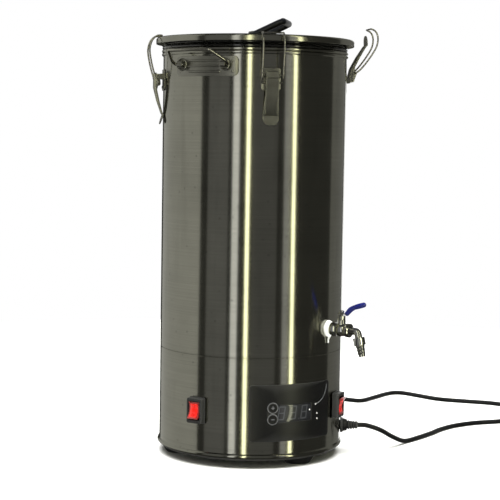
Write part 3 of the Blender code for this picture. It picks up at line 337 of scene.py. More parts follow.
# ---- the body's driving sizes ----------------------------------------------------------------
@dataclass(frozen=True)
class Body:
    """Sizes that the whole kettle shares."""

    axis: tuple[float, float] = (-0.005, 0.016)
    radius: float = 0.150
    wall: float = 0.0012
    gap: float = 0.0003
    pan_bottom: float = 0.0125
    bead_bottom: float = 0.016
    foot_bead: float = 0.007
    seam: float = 0.176
    seam_gap: float = 0.0010
    neck: float = 0.6492
    neck_bead: float = 0.0054
    lid_bottom: float = 0.6690
    lid_top: float = 0.6795

    @property
    def rim(self) -> float:
        """Height of the vessel's rim, over its two neck beads."""
        return self.neck + 2 * self.neck_bead

    def on_wall(self, angle: float, height: float, out: float = 0.0,
                radius: float | None = None) -> Matrix:
        """Local frame on the wall: X along the wall, -Y outward, Z up.

        Args:
            angle: Degrees round the kettle from the panel.
            height: Height above the table.
            out: Distance off the wall.
            radius: Distance from the axis, if not the wall's.

        Returns:
            The frame's matrix.
        """
        turn = Matrix.Translation((*self.axis, 0)) @ Matrix.Rotation(math.radians(angle), 4, "Z")
        reach = (self.radius if radius is None else radius) + out
        return turn @ Matrix.Translation((0, -reach, height))

    def on_axis(self, height: float = 0.0) -> Matrix:
        """Frame on the kettle's axis, at a height."""
        return Matrix.Translation((*self.axis, height))


BODY = Body()
OUTWARD = Matrix.Rotation(math.pi / 2, 4, "X")       # turns a piece's own Z to point off the wall
ACROSS = Matrix.Rotation(math.pi / 2, 4, "Y")        # turns a piece's own Z to lie along the wall
SIDEWAYS = Matrix(((0, 0, 1, 0), (1, 0, 0, 0), (0, 1, 0, 0), (0, 0, 0, 1)))


# ---- modelling -------------------------------------------------------------------------------
def circle_points(centre: tuple[float, float], radius: float, start: float, end: float,
                  steps: int) -> Outline:
    """Points on an arc, from start to end in degrees."""
    turns = [math.radians(start + (end - start) * i / steps) for i in range(steps + 1)]
    return [(centre[0] + radius * math.cos(t), centre[1] + radius * math.sin(t)) for t in turns]


def verts_of(geometry: Iterable) -> list[BMVert]:
    """The vertices in an operator's result."""
    return [g for g in geometry if isinstance(g, BMVert)]


def spun(profile: Outline, steps: int = 48, ring: bool = False) -> BMesh:
    """Turns a profile about Z.

    Args:
        profile: Points as radius and height.
        steps: Facets in a full turn.
        ring: Whether the profile closes on itself.

    Returns:
        The closed surface.
    """
    bm = bmesh.new()
    verts = [bm.verts.new((r, 0.0, z)) for r, z in profile]
    pairs = list(zip(verts, verts[1:])) + ([(verts[-1], verts[0])] if ring else [])
    edges = [bm.edges.new(pair) for pair in pairs]
    bmesh.ops.spin(bm, geom=verts + edges, cent=(0, 0, 0), axis=(0, 0, 1), dvec=(0, 0, 0),
                   angle=FULL_TURN, steps=steps, use_merge=True, use_duplicate=False)
    bmesh.ops.remove_doubles(bm, verts=bm.verts, dist=1e-6)
    return bm


def bevelled(bm: BMesh, edges: Sequence[BMEdge], offset: float, segments: int = 2) -> None:
    """Rounds the given edges."""
    bmesh.ops.bevel(bm, geom=edges, offset=offset, segments=segments, profile=0.5,
                    affect="EDGES", material=-1)


def prism(outline: Sequence[tuple[float, float]], thickness: float, bevel: float = 0.0,
          segments: int = 2) -> BMesh:
    """A flat plate from its outline in the XY plane, centred on it.

    Args:
        outline: Corner points.
        thickness: Size along Z.
        bevel: Rounding of every edge of the two faces.
        segments: Facets of the rounding.

    Returns:
        The closed plate.
    """
    bm = bmesh.new()
    face = bm.faces.new([bm.verts.new((x, y, -thickness / 2)) for x, y in outline])
    grown = bmesh.ops.extrude_face_region(bm, geom=[face])["geom"]
    bmesh.ops.translate(bm, verts=verts_of(grown), vec=(0, 0, thickness))
    if bevel:
        rims = [e for e in bm.edges if abs(e.verts[0].co.z - e.verts[1].co.z) < thickness / 2]
        bevelled(bm, rims, bevel, segments)
    return bm


def rounded_rectangle(width: float, height: float, corner: float, steps: int = 6) -> Outline:
    """Outline of a rectangle with rounded corners, centred."""
    points: Outline = []
    for quarter, (sx, sy) in enumerate(((1, 1), (-1, 1), (-1, -1), (1, -1))):
        centre = (sx * (width / 2 - corner), sy * (height / 2 - corner))
        points += circle_points(centre, corner, 90 * quarter, 90 * quarter + 90, steps)
    return points


def block(size: tuple[float, float, float], bevel: float = 0.0, segments: int = 3) -> BMesh:
    """A box about the origin with all its edges rounded."""
    bm = bmesh.new()
    bmesh.ops.create_cube(bm, size=1.0)
    bmesh.ops.scale(bm, vec=size, verts=bm.verts)
    if bevel:
        bevelled(bm, bm.edges[:], bevel, segments)
    return bm


def path_frames(points: Sequence[Vector]) -> list[Matrix]:
    """Frames along a path, Z along it, turned as little as possible from one to the next."""
    directions = [(b - a).normalized() for a, b in zip(points, points[1:])]
    tangents = [directions[0]]
    tangents += [(a + b).normalized() for a, b in zip(directions, directions[1:])]
    tangents.append(directions[-1])
    turn = tangents[0].to_track_quat("Z", "Y")
    frames = [Matrix.Translation(points[0]) @ turn.to_matrix().to_4x4()]
    for before, tangent, point in zip(tangents, tangents[1:], points[1:]):
        turn = before.rotation_difference(tangent) @ turn
        frames.append(Matrix.Translation(point) @ turn.to_matrix().to_4x4())
    return frames


def swept(points: Sequence[Vector], radius: float, sides: int = 16, dome: float = 0.6,
          radii: Sequence[float] | None = None) -> BMesh:
    """A rod along a path, with domed ends.

    Args:
        points: The path.
        radius: Radius of the rod.
        sides: Facets round it.
        dome: Height of the domed ends, as a share of the radius.
        radii: Radius at each point, where it changes along the rod.

    Returns:
        The closed rod.
    """
    sizes = list(radii) if radii else [radius] * len(points)
    places = path_frames(points)
    first, last = places[0], places[-1]
    ends = [(math.cos(t), math.sin(t)) for t in (math.radians(35), math.radians(65))]
    for shrink, rise in ends:
        places.insert(0, first @ Matrix.Translation((0, 0, -rise * dome * sizes[0])))
        places.append(last @ Matrix.Translation((0, 0, rise * dome * sizes[-1])))
    sizes = [sizes[0] * s for s, _ in reversed(ends)] + sizes + [sizes[-1] * s for s, _ in ends]
    rings = [place @ Matrix.Scale(size, 4) for place, size in zip(places, sizes)]
    bm = bmesh.new()
    ring = bmesh.ops.create_circle(bm, cap_ends=True, segments=sides, radius=1.0, matrix=rings[0])
    edges = list({e for v in ring["verts"] for e in v.link_edges})
    for here, there in zip(rings, rings[1:]):
        grown = bmesh.ops.extrude_edge_only(bm, edges=edges)["geom"]
        fresh = verts_of(grown)
        bmesh.ops.transform(bm, matrix=there @ here.inverted(), verts=fresh)
        edges = [e for e in grown if isinstance(e, BMEdge) and all(v in fresh for v in e.verts)]
    bmesh.ops.holes_fill(bm, edges=edges, sides=0)
    return bm


def ribbon(stations: Sequence[tuple[float, float, float]], thickness: float,
           columns: int = 6) -> BMesh:
    """A strip seen from the side: its width runs along X.

    Args:
        stations: Distance off the wall, height and width at each place along the strip.
        thickness: The metal, laid on the outer side.
        columns: Facets across the width.

    Returns:
        The closed strip.
    """
    bm = bmesh.new()
    out, up, width = stations[0]
    row = [bm.verts.new(((i / columns - 0.5) * width, -out, up)) for i in range(columns + 1)]
    edges = [bm.edges.new(pair) for pair in zip(row, row[1:])]
    for (out_a, up_a, width_a), (out_b, up_b, width_b) in zip(stations, stations[1:]):
        grown = bmesh.ops.extrude_edge_only(bm, edges=edges)["geom"]
        fresh = verts_of(grown)
        bmesh.ops.scale(bm, vec=(width_b / width_a, 1, 1), verts=fresh)
        bmesh.ops.translate(bm, vec=(0, out_a - out_b, up_b - up_a), verts=fresh)
        edges = [e for e in grown if isinstance(e, BMEdge) and all(v in fresh for v in e.verts)]
    bmesh.ops.recalc_face_normals(bm, faces=bm.faces)
    if sum(f.normal.y for f in bm.faces) > 0:
        bmesh.ops.reverse_faces(bm, faces=bm.faces)
    bmesh.ops.solidify(bm, geom=bm.faces[:], thickness=thickness)
    sharp = [e for e in bm.edges if e.calc_face_angle(0.0) > math.radians(60)]
    bevelled(bm, sharp, thickness * 0.25)
    return bm


def corners_rounded(points: Sequence[Vector], radius: float, steps: int = 8) -> list[Vector]:
    """The same path with each inner corner replaced by an arc of the given radius."""
    path = [points[0]]
    for before, corner, after in zip(points, points[1:], points[2:]):
        back, forth = (before - corner).normalized(), (after - corner).normalized()
        half = back.angle(forth) / 2
        reach = min(radius / math.tan(half), (before - corner).length / 2,
                    (after - corner).length / 2)
        centre = corner + (back + forth).normalized() * reach / math.cos(half)
        start, end = corner + back * reach - centre, corner + forth * reach - centre
        for i in range(steps + 1):
            turn = Matrix.Rotation(start.angle(end) * i / steps, 3, start.cross(end))
            path.append(centre + turn @ start)
    path.append(points[-1])
    return path


def smooth_route(points: Sequence[Vector], count: int) -> list[Vector]:
    """Points at even spacing along a Catmull-Rom curve through the given ones.

    Args:
        points: The places that the curve passes through.
        count: How many points to return.

    Returns:
        The evenly spaced points, ends included.
    """
    ends = [2 * points[0] - points[1], *points, 2 * points[-1] - points[-2]]
    fine: list[Vector] = []
    for a, b, c, d in zip(ends, ends[1:], ends[2:], ends[3:]):
        for i in range(24):
            t = i / 24
            bend = (2 * a - 5 * b + 4 * c - d) * t ** 2 + (3 * b - a - 3 * c + d) * t ** 3
            fine.append((2 * b + (c - a) * t + bend) / 2)
    fine.append(points[-1])
    lengths = [0.0]
    for a, b in zip(fine, fine[1:]):
        lengths.append(lengths[-1] + (b - a).length)
    route, at = [], 0
    for i in range(count):
        want = lengths[-1] * i / (count - 1)
        while at < len(fine) - 2 and lengths[at + 1] < want:
            at += 1
        share = (want - lengths[at]) / (lengths[at + 1] - lengths[at])
        route.append(fine[at].lerp(fine[at + 1], min(share, 1.0)))
    return route


def moved(bm: BMesh, matrix: Matrix) -> BMesh:
    """The same mesh, put in place."""
    bmesh.ops.transform(bm, matrix=matrix, verts=bm.verts)
    return bm


def joined(*meshes: BMesh) -> BMesh:
    """Several shells as one mesh; the given ones are freed."""
    whole = bmesh.new()
    for bm in meshes:
        bmesh.ops.recalc_face_normals(bm, faces=bm.faces)
        part = bpy.data.meshes.new("part")
        bm.to_mesh(part)
        bm.free()
        whole.from_mesh(part)
        bpy.data.meshes.remove(part)
    return whole


def wrapped(bm: BMesh, radius: float = BODY.radius, strip: float = 0.004) -> BMesh:
    """Bends a flat plate round the kettle: X runs along the wall and -Y stays outward.

    Args:
        bm: The plate, in the wall's local frame.
        radius: Radius of the wall.
        strip: Widest facet after the bend.

    Returns:
        The bent plate.
    """
    half = max(abs(v.co.x) for v in bm.verts)
    count = max(2, math.ceil(2 * half / strip))
    for i in range(1, count):
        x = -half + 2 * half * i / count
        bmesh.ops.bisect_plane(bm, geom=bm.verts[:] + bm.edges[:] + bm.faces[:],
                               plane_co=(x, 0, 0), plane_no=(1, 0, 0))
    for v in bm.verts:
        turn, reach = v.co.x / radius, radius - v.co.y
        v.co.x = reach * math.sin(turn)
        v.co.y = radius - reach * math.cos(turn)
    return bm


def upright(bm: BMesh, out: float = 0.0) -> BMesh:
    """Stands an XY plate up in the wall's frame, its middle the given distance off the wall."""
    return moved(bm, Matrix.Translation((0, -out, 0)) @ OUTWARD)


def hexagon(radius: float, low: float, high: float) -> BMesh:
    """A six-sided nut or collar with chamfered corners, about Z."""
    bm = bmesh.new()
    bmesh.ops.create_cone(bm, cap_ends=True, segments=6, radius1=radius, radius2=radius,
                          depth=high - low, matrix=Matrix.Translation((0, 0, (low + high) / 2)))
    bevelled(bm, bm.edges[:], radius * 0.07)
    return bm


def install(name: str, bm: BMesh, finish: Finish, body: str,
            replaces: Sequence[str] = (), sharp: float = 32.0) -> bpy.types.Object:
    """Makes a finished piece of a mesh and joins it to the frame.

    Args:
        name: The piece's name.
        bm: Its surface, in the row frame; freed here.
        finish: What it is made of.
        body: The moving body it rides on.
        replaces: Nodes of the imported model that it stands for.
        sharp: Angle in degrees past which an edge stays crisp.

    Returns:
        The new object.
    """
    bmesh.ops.recalc_face_normals(bm, faces=bm.faces)
    mesh = bpy.data.meshes.new(name)
    bm.to_mesh(mesh)
    bm.free()
    mesh.shade_smooth()
    mesh.set_sharp_from_angle(angle=math.radians(sharp))
    mesh.materials.append(finish.material())
    piece = bpy.data.objects.new(name, mesh)
    bpy.context.scene.collection.objects.link(piece)
    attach(piece, body)
    if replaces:
        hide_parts(*replaces)
    LOG.info("%s: %d faces on %s", name, len(mesh.polygons), body)
    return piece


def dress(node: str, finish: Finish) -> None:
    """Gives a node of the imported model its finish."""
    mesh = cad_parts[node].data
    mesh.materials.clear()
    mesh.materials.append(finish.material())


def sideways(outline: Outline, thickness: float, shift: float = 0.0, bevel: float = 0.0) -> BMesh:
    """A plate seen from the side: points are distance off the wall and height.

    Args:
        outline: Corner points.
        thickness: Size along the wall.
        shift: Middle of the plate along the wall.
        bevel: Rounding of its edges.

    Returns:
        The closed plate.
    """
    plate = prism([(-out, up) for out, up in outline], thickness, bevel)
    return moved(plate, Matrix.Translation((shift, 0, 0)) @ SIDEWAYS)


def pierced(outline: Outline, holes: Sequence[Outline], thickness: float,
            bevel: float = 0.0) -> BMesh:
    """A flat plate in the XY plane with holes through it.

    Args:
        outline: Corner points of the plate.
        holes: Corner points of each hole.
        thickness: Size along Z.
        bevel: Rounding of the edges of both faces.

    Returns:
        The closed plate, its middle on the XY plane.
    """
    bm = bmesh.new()
    edges = []
    for loop in (outline, *holes):
        verts = [bm.verts.new((x, y, -thickness / 2)) for x, y in loop]
        edges += [bm.edges.new(pair) for pair in zip(verts, verts[1:] + verts[:1])]
    bmesh.ops.triangle_fill(bm, use_beauty=True, use_dissolve=False, edges=edges)
    grown = bmesh.ops.extrude_face_region(bm, geom=bm.faces[:])["geom"]
    bmesh.ops.translate(bm, verts=verts_of(grown), vec=(0, 0, thickness))
    bmesh.ops.recalc_face_normals(bm, faces=bm.faces)
    if bevel:
        rims = [e for e in bm.edges if abs(e.verts[0].co.z - e.verts[1].co.z) < thickness / 2
                and e.calc_face_angle(0.0) > math.radians(45)]
        bevelled(bm, rims, bevel)
    return bm


def dome(radius: float, height: float, steps: int = 20) -> BMesh:
    """A rivet's head or a button's cap, about Z with its flat side at zero."""
    crown = [(radius * math.cos(math.radians(a)), height * math.sin(math.radians(a)))
             for a in (90, 65, 45, 25, 8)]
    return spun([(0.0, crown[0][1]), *crown[1:], (radius, 0.0), (0.0, 0.0)], steps)


def shifted(outline: Outline, along: float, up: float) -> Outline:
    """The same outline, moved."""
    return [(x + along, y + up) for x, y in outline]


# ---- the pieces ------------------------------------------------------------------------------
@dataclass(frozen=True)
class Vessel:
    """Straight steel wall with a welded floor, two neck beads and a lip turned in at the rim."""

    floor_above_seam: float = 0.012
    fillet: float = 0.010
    bulge: float = 0.0025
    lip: float = 0.008
    steps: int = 240

    def build(self) -> None:
        """Builds the vessel."""
        outer, inner = BODY.radius, BODY.radius - BODY.wall
        floor, skirt = BODY.seam + self.floor_above_seam, BODY.seam + BODY.seam_gap / 2
        corner = (inner - self.fillet, floor + self.fillet)
        rim = BODY.rim
        beads: Outline = []
        for i in (1, 0):
            middle = BODY.neck + (i + 0.5) * BODY.neck_bead
            beads += [(outer + self.bulge * math.cos(t), middle + BODY.neck_bead / 2 * math.sin(t))
                      for t in (math.radians(80 - 16 * k) for k in range(11))]
        profile = [
            (0.0, floor), *circle_points(corner, self.fillet, -90, 0, 8), (inner, rim - 0.006),
            (inner - 0.0008, rim - 0.003), (outer - self.lip, rim - BODY.wall),
            (outer - self.lip - 0.0004, rim - BODY.wall / 2), (outer - self.lip, rim), *beads,
            (outer, BODY.neck - 0.0012), (outer, skirt + 0.0004), (outer - 0.0004, skirt),
            (inner, skirt), (inner, floor - BODY.wall), (0.0, floor - BODY.wall),
        ]
        wall = moved(spun(profile, self.steps), BODY.on_axis())
        install("vessel_wall", wall, WALL_STEEL, "kettle", ["kettle_vessel"])


@dataclass(frozen=True)
class Base:
    """Steel base wall with a rolled foot bead, the moulded pan under it, and three rubber feet."""

    bulge: float = 0.003
    pan_edge: float = 0.014
    foot_angles: tuple[float, ...] = (13.0, -107.0, 133.0)
    foot_names: tuple[str, ...] = ("front", "left", "right")
    foot_circle: float = 0.119
    foot_top: float = 0.027
    foot_sole: float = 0.019
    steps: int = 240

    def build(self) -> None:
        """Builds the base wall, pan and feet, and dresses the parts inside."""
        self._wall()
        self._pan()
        self._feet()
        dress("heating_element", CAST_ALUMINIUM)
        dress("temperature_sensor", WIRE_STEEL)
        dress("thermal_cutout", BLACK_ABS)
        dress("control_board", BOARD_LAMINATE)

    def _wall(self) -> None:
        """The wall, joggled in at the top to fit inside the vessel's skirt."""
        outer, inner = BODY.radius, BODY.radius - BODY.wall
        fit, top = inner - BODY.gap, BODY.seam - BODY.seam_gap / 2
        bead, half = BODY.bead_bottom + BODY.foot_bead / 2, BODY.foot_bead / 2
        roll = [(outer + self.bulge * math.sin(t), bead + half * math.cos(t))
                for t in (math.radians(12 + 13 * i) for i in range(13))]
        profile = [
            (fit, top + 0.008), (fit, top), (outer - 0.0004, top), (outer, top - 0.0004),
            (outer, bead + half + 0.0006), *roll, (inner, BODY.bead_bottom), (inner, top - 0.004),
            (fit - BODY.wall, top), (fit - BODY.wall, top + 0.008),
        ]
        wall = moved(spun(profile, self.steps, ring=True), BODY.on_axis())
        install("base_wall", wall, WALL_STEEL, "kettle", ["base_shroud"])

    def _pan(self) -> None:
        """The tray that closes the base from below."""
        outer, low = BODY.radius - BODY.wall - BODY.gap, BODY.pan_bottom
        edge = BODY.bead_bottom + self.pan_edge
        vents = [(r, low + (0.0 if i % 4 in (0, 3) else 0.0012))
                 for i, r in enumerate(x * 0.0035 for x in range(30, 6, -1))]
        profile = [
            (0.0, low + 0.003), (outer - 0.004, low + 0.003), (outer - 0.002, edge), (outer, edge),
            (outer, BODY.bead_bottom), (outer - 0.0006, low + 0.0008), (outer - 0.002, low),
            *vents, (0.0, low),
        ]
        install("base_tray", moved(spun(profile, 120), BODY.on_axis()), BLACK_ABS, "kettle",
                ["base_pan"])

    def _feet(self) -> None:
        """Conical rubber feet with a rounded sole and a screw well."""
        top = BODY.pan_bottom - BODY.gap
        profile = [
            (0.0, top), (self.foot_top - 0.0008, top), (self.foot_top, top - 0.0008),
            (self.foot_sole + 0.0012, 0.0014), (self.foot_sole + 0.0004, 0.0003),
            (self.foot_sole - 0.0004, 0.0), (0.0060, 0.0), (0.0055, 0.0005), (0.0055, 0.0050),
            (0.0, 0.0050),
        ]
        for name, angle in zip(self.foot_names, self.foot_angles):
            place = BODY.on_wall(angle, 0, radius=self.foot_circle)
            install(f"rubber_foot_{name}", moved(spun(profile), place), FOOT_RUBBER, "kettle",
                    [f"foot_{name}"])


@dataclass(frozen=True)
class Lid:
    """Pressed lid with a rolled rim, its lip seal and a folding grip on a moulded mount."""

    overhang: float = 0.012
    recess: float = 0.004
    spigot_gap: float = 0.0035
    spigot_depth: float = 0.012
    rim_lip: float = 0.008
    handle_yaw: float = 52.0
    span: float = 0.074
    reach: float = 0.055
    rod: float = 0.0050
    lean: float = 25.0
    mount: tuple[float, float, float] = (0.058, 0.020, 0.0165)

    @property
    def deck(self) -> float:
        """Height of the flat middle."""
        return BODY.lid_top - self.recess

    @property
    def spigot(self) -> float:
        """Radius of the skirt that locates the lid in the rim."""
        return BODY.radius - self.rim_lip - self.spigot_gap

    def build(self) -> None:
        """Builds the lid, its seal, the mount and the grip."""
        self._shell()
        self._seal()
        turn = BODY.on_axis() @ Matrix.Rotation(math.radians(self.handle_yaw), 4, "Z")
        self._mount(turn)
        self._grip(turn)

    def _shell(self) -> None:
        """The pressed sheet: dished deck, raised step, rolled edge and spigot."""
        outer, top, deck, spigot = BODY.radius + self.overhang, BODY.lid_top, self.deck, self.spigot
        low = BODY.rim - self.spigot_depth
        metal = BODY.wall
        outline = [
            (0.0, deck + 0.0006), (spigot * 0.5, deck + 0.0004), (spigot - 0.004, deck),
            (spigot - 0.001, deck + 0.0005), (spigot + 0.0015, deck + 0.0022),
            (spigot + 0.003, top - 0.0004), (spigot + 0.005, top),
            *circle_points((outer - 0.004, top - 0.004), 0.004, 90, 0, 8),
            (outer, BODY.lid_bottom + 0.0004), (outer - 0.0005, BODY.lid_bottom),
            (outer - metal, BODY.lid_bottom + 0.0003), (outer - metal, top - 0.0045),
            (outer - 0.0045, top - metal), (spigot + 0.0044, top - metal), (spigot, top - 0.0056),
            (spigot, low), (spigot - metal, low), (spigot - metal, deck - metal),
            (0.0, deck - metal),
        ]
        install("lid_pressing", moved(spun(outline, 240), BODY.on_axis()), LID_STEEL, "lid",
                ["lid_shell"])

    def _seal(self) -> None:
        """Silicone ring whose two lips bulge a little out of the gap."""
        inner, high = self.spigot + 0.006, BODY.lid_top - BODY.wall - BODY.gap
        low, outer = BODY.rim + BODY.gap, BODY.radius + 0.0005
        outline = [
            (outer - 0.001, high), (outer, high - 0.001), (outer, low + 0.0072),
            (outer + 0.0012, low + 0.0062), (outer + 0.0016, low + 0.0048),
            (outer - 0.0004, low + 0.0038), (outer + 0.0014, low + 0.0026),
            (outer + 0.0012, low + 0.0010), (outer, low), (inner, low), (inner, high),
        ]
        install("lid_lip_seal", moved(spun(outline, 200, ring=True), BODY.on_axis()), SEAL_SILICONE,
                "lid", ["lid_seal"])

    def _mount(self, turn: Matrix) -> None:
        """Moulded saddle: a slab, a middle block and two barrels that hold the grip's ends."""
        width, depth, height = self.mount
        pivot = self._pivot_height() - self.deck
        slab = moved(block((width, depth, 0.0022), 0.0007), Matrix.Translation((0, 0, 0.0014)))
        middle = moved(block((0.027, depth, height), 0.0022),
                       Matrix.Translation((0, 0, BODY.gap + height / 2)))
        barrels = []
        hole, outer, length = self.rod + 0.0006, height - pivot, 0.0148
        ring = [
            (hole, 0.0), (outer - 0.001, 0.0), (outer, 0.001), (outer, length - 0.0012),
            (outer - 0.0012, length), (hole + 0.0005, length), (hole, length - 0.0005),
        ]
        for side in (-1, 1):
            place = Matrix.Translation((side * 0.0142, 0, pivot)) @ Matrix.Rotation(
                side * math.pi / 2, 4, "Y")
            barrels.append(moved(spun(ring, 32, ring=True), place))
        screws = [moved(dome(0.0032, 0.0014), Matrix.Translation((x, 0, height + BODY.gap)))
                  for x in (-0.007, 0.007)]
        saddle = moved(joined(slab, middle, *barrels, *screws),
                       turn @ Matrix.Translation((0, 0, self.deck)))
        install("lid_grip_saddle", saddle, BLACK_ABS, "lid", ["lid_handle_mount"])

    def _grip(self, turn: Matrix) -> None:
        """The rounded grip, folded back above level."""
        half, end = self.span / 2, self.mount[0] / 2 - 0.014
        corners = [(-end, 0), (-half, 0), (-half, self.reach), (half, self.reach), (half, 0),
                   (end, 0)]
        path = corners_rounded([Vector((x, -out, 0)) for x, out in corners], 0.009)
        pivot = turn @ Matrix.Translation((0, 0, self._pivot_height()))
        tilt = Matrix.Rotation(math.radians(-self.lean), 4, "X")
        middle = self.rod * 1.10
        radii = [middle if abs(p.x) < half * 0.85 and p.y < -self.rod else self.rod for p in path]
        grip = moved(swept(path, self.rod, 20, 0.3, radii), pivot @ tilt)
        install("lid_grip_bar", grip, GRIP_PHENOLIC, "lid_grip", ["lid_handle"])

    def _pivot_height(self) -> float:
        """Height of the grip's pivot."""
        return self.deck + BODY.gap + self.mount[2] - self.rod - 0.0035


@dataclass(frozen=True)
class Latch:
    """Over-centre toggle latch: riveted bracket, lever with a rounded lip and a sprung wire."""

    side: str
    angle: float
    opening: float = 0.0
    swing: float = 166.0
    wire_swing: float = 188.0
    pin_out: float = 0.0110
    pin_below_lid: float = 0.0630
    seat_out: float = 0.0095
    seat_below_pin: float = 0.0120
    metal: float = 0.0014
    width: float = 0.023
    length: float = 0.0745
    wire: float = 0.0014
    wire_span: float = 0.033
    ears: float = 0.0254

    def build(self) -> None:
        """Builds the latch in its place on the wall."""
        place = BODY.on_wall(self.angle, BODY.lid_top - self.pin_below_lid)
        pin = place @ Matrix.Translation((0, -self.pin_out, 0))
        lever = pin @ Matrix.Rotation(math.radians(-self.opening), 4, "X")
        back = math.radians(self.opening * self.wire_swing / self.swing)
        seat = Matrix.Translation((0, self.pin_out - self.seat_out, -self.seat_below_pin))
        side = self.side
        install(f"latch_{side}_plate", moved(self._bracket(), place), STRIP_STEEL, "kettle",
                [f"latch_bracket_{side}"])
        install(f"latch_{side}_strap", moved(self._lever(), lever), STRIP_STEEL, f"lever_{side}",
                [f"latch_lever_{side}"])
        loop = moved(self._wire(), lever @ seat @ Matrix.Rotation(back, 4, "X"))
        install(f"latch_{side}_loop", loop, WIRE_STEEL, f"wire_{side}",
                [f"latch_wire_{side}"])
        dress(f"latch_pin_{side}", WIRE_STEEL)

    def _bracket(self) -> BMesh:
        """Plate on the wall with two ears and two rivets."""
        plate = prism(rounded_rectangle(0.030, 0.034, 0.004), self.metal, 0.0003)
        plate = wrapped(upright(plate, BODY.gap + self.metal / 2))
        moved(plate, Matrix.Translation((0, 0, -0.006)))
        face = BODY.gap + self.metal
        nose = circle_points((self.pin_out, 0), 0.0034, 80, -80, 12)
        ear = [(BODY.gap, 0.0045), *nose, (BODY.gap, -0.0050)]
        ears = [sideways(ear, self.metal, s * self.ears / 2, 0.0002) for s in (-1, 1)]
        rivets = []
        for along in (-0.0068, 0.0068):
            spot = Matrix.Translation((along, -face + 0.0002, -0.0175)) @ OUTWARD
            rivets.append(moved(dome(0.0026, 0.0013), spot))
        return joined(plate, *ears, *rivets)

    def _lever(self) -> BMesh:
        """Strap about its own pin, flaring to a lip that is rounded off and turned out."""
        back, foot, low = 0.0058, -0.0090, 0.010 - self.length
        top, wide = self.width * 0.89, self.width * 1.07
        strap = [
            (back - 0.0036, 0.0060, top), (back - 0.0018, 0.0050, top),
            (back + 0.0006, -0.0030, top * 0.97), (back + 0.0004, -0.0044, top * 0.96),
            (back - 0.0006, -0.0052, top * 0.96),
            (back - 0.0006, -0.0180, top * 0.98), (-0.0015, -0.0400, top * 1.07),
            (-0.0075, -0.0600, wide * 0.985), (foot, low + 0.0024, wide),
            (foot + 0.0006, low + 0.0006, wide), (foot + 0.0014, low - 0.0020, wide * 0.99),
            (foot + 0.0024, low - 0.0050, wide * 0.95), (foot + 0.0033, low - 0.0078, wide * 0.84),
            (foot + 0.0040, low - 0.0100, wide * 0.69), (foot + 0.0045, low - 0.0116, wide * 0.49),
            (foot + 0.0048, low - 0.0126, wide * 0.24),
        ]
        plate = ribbon(strap, self.metal, 12)
        seat_out, seat_up = self.seat_out - self.pin_out, -self.seat_below_pin
        cheek = [
            (back + self.metal / 2, 0.0045), (0.0, 0.0040), (-0.0036, 0.0010),
            *circle_points((seat_out, seat_up), 0.0036, 180, 280, 8), (0.0005, -0.0220),
            (-0.0035, -0.0400), (-0.0090, -0.0600), (-0.0072, -0.0600), (0.0002, -0.0390),
            (back - 0.0002, -0.0180), (back - 0.0002, -0.0060),
        ]
        cheeks = [sideways(cheek, self.metal, s * (top - self.metal) / 2, 0.0002) for s in (-1, 1)]
        return joined(plate, *cheeks)

    def _wire(self) -> BMesh:
        """The wire about its seat: two bowed legs, a crossbar on the lid and ends turned in."""
        over = self.pin_below_lid + self.wire + 2 * BODY.gap
        bow = [
            (self.seat_out, -self.seat_below_pin), (0.0150, -0.0020), (0.0205, 0.0160),
            (0.0245, 0.0370), (0.0240, 0.0480), (0.0205, 0.0575), (0.0150, over - 0.0016),
            (0.0105, over), (0.0050, over),
        ]
        half, end = self.wire_span / 2, self.width / 2 - self.metal - 0.0008
        leg = smooth_route([Vector((half, self.seat_out - out, up + self.seat_below_pin))
                            for out, up in bow], 26)
        other = [Vector((-p.x, p.y, p.z)) for p in reversed(leg)]
        path = corners_rounded([Vector((end, 0, 0)), *leg, *other, Vector((-end, 0, 0))], 0.003, 5)
        return swept(path, self.wire, 12)


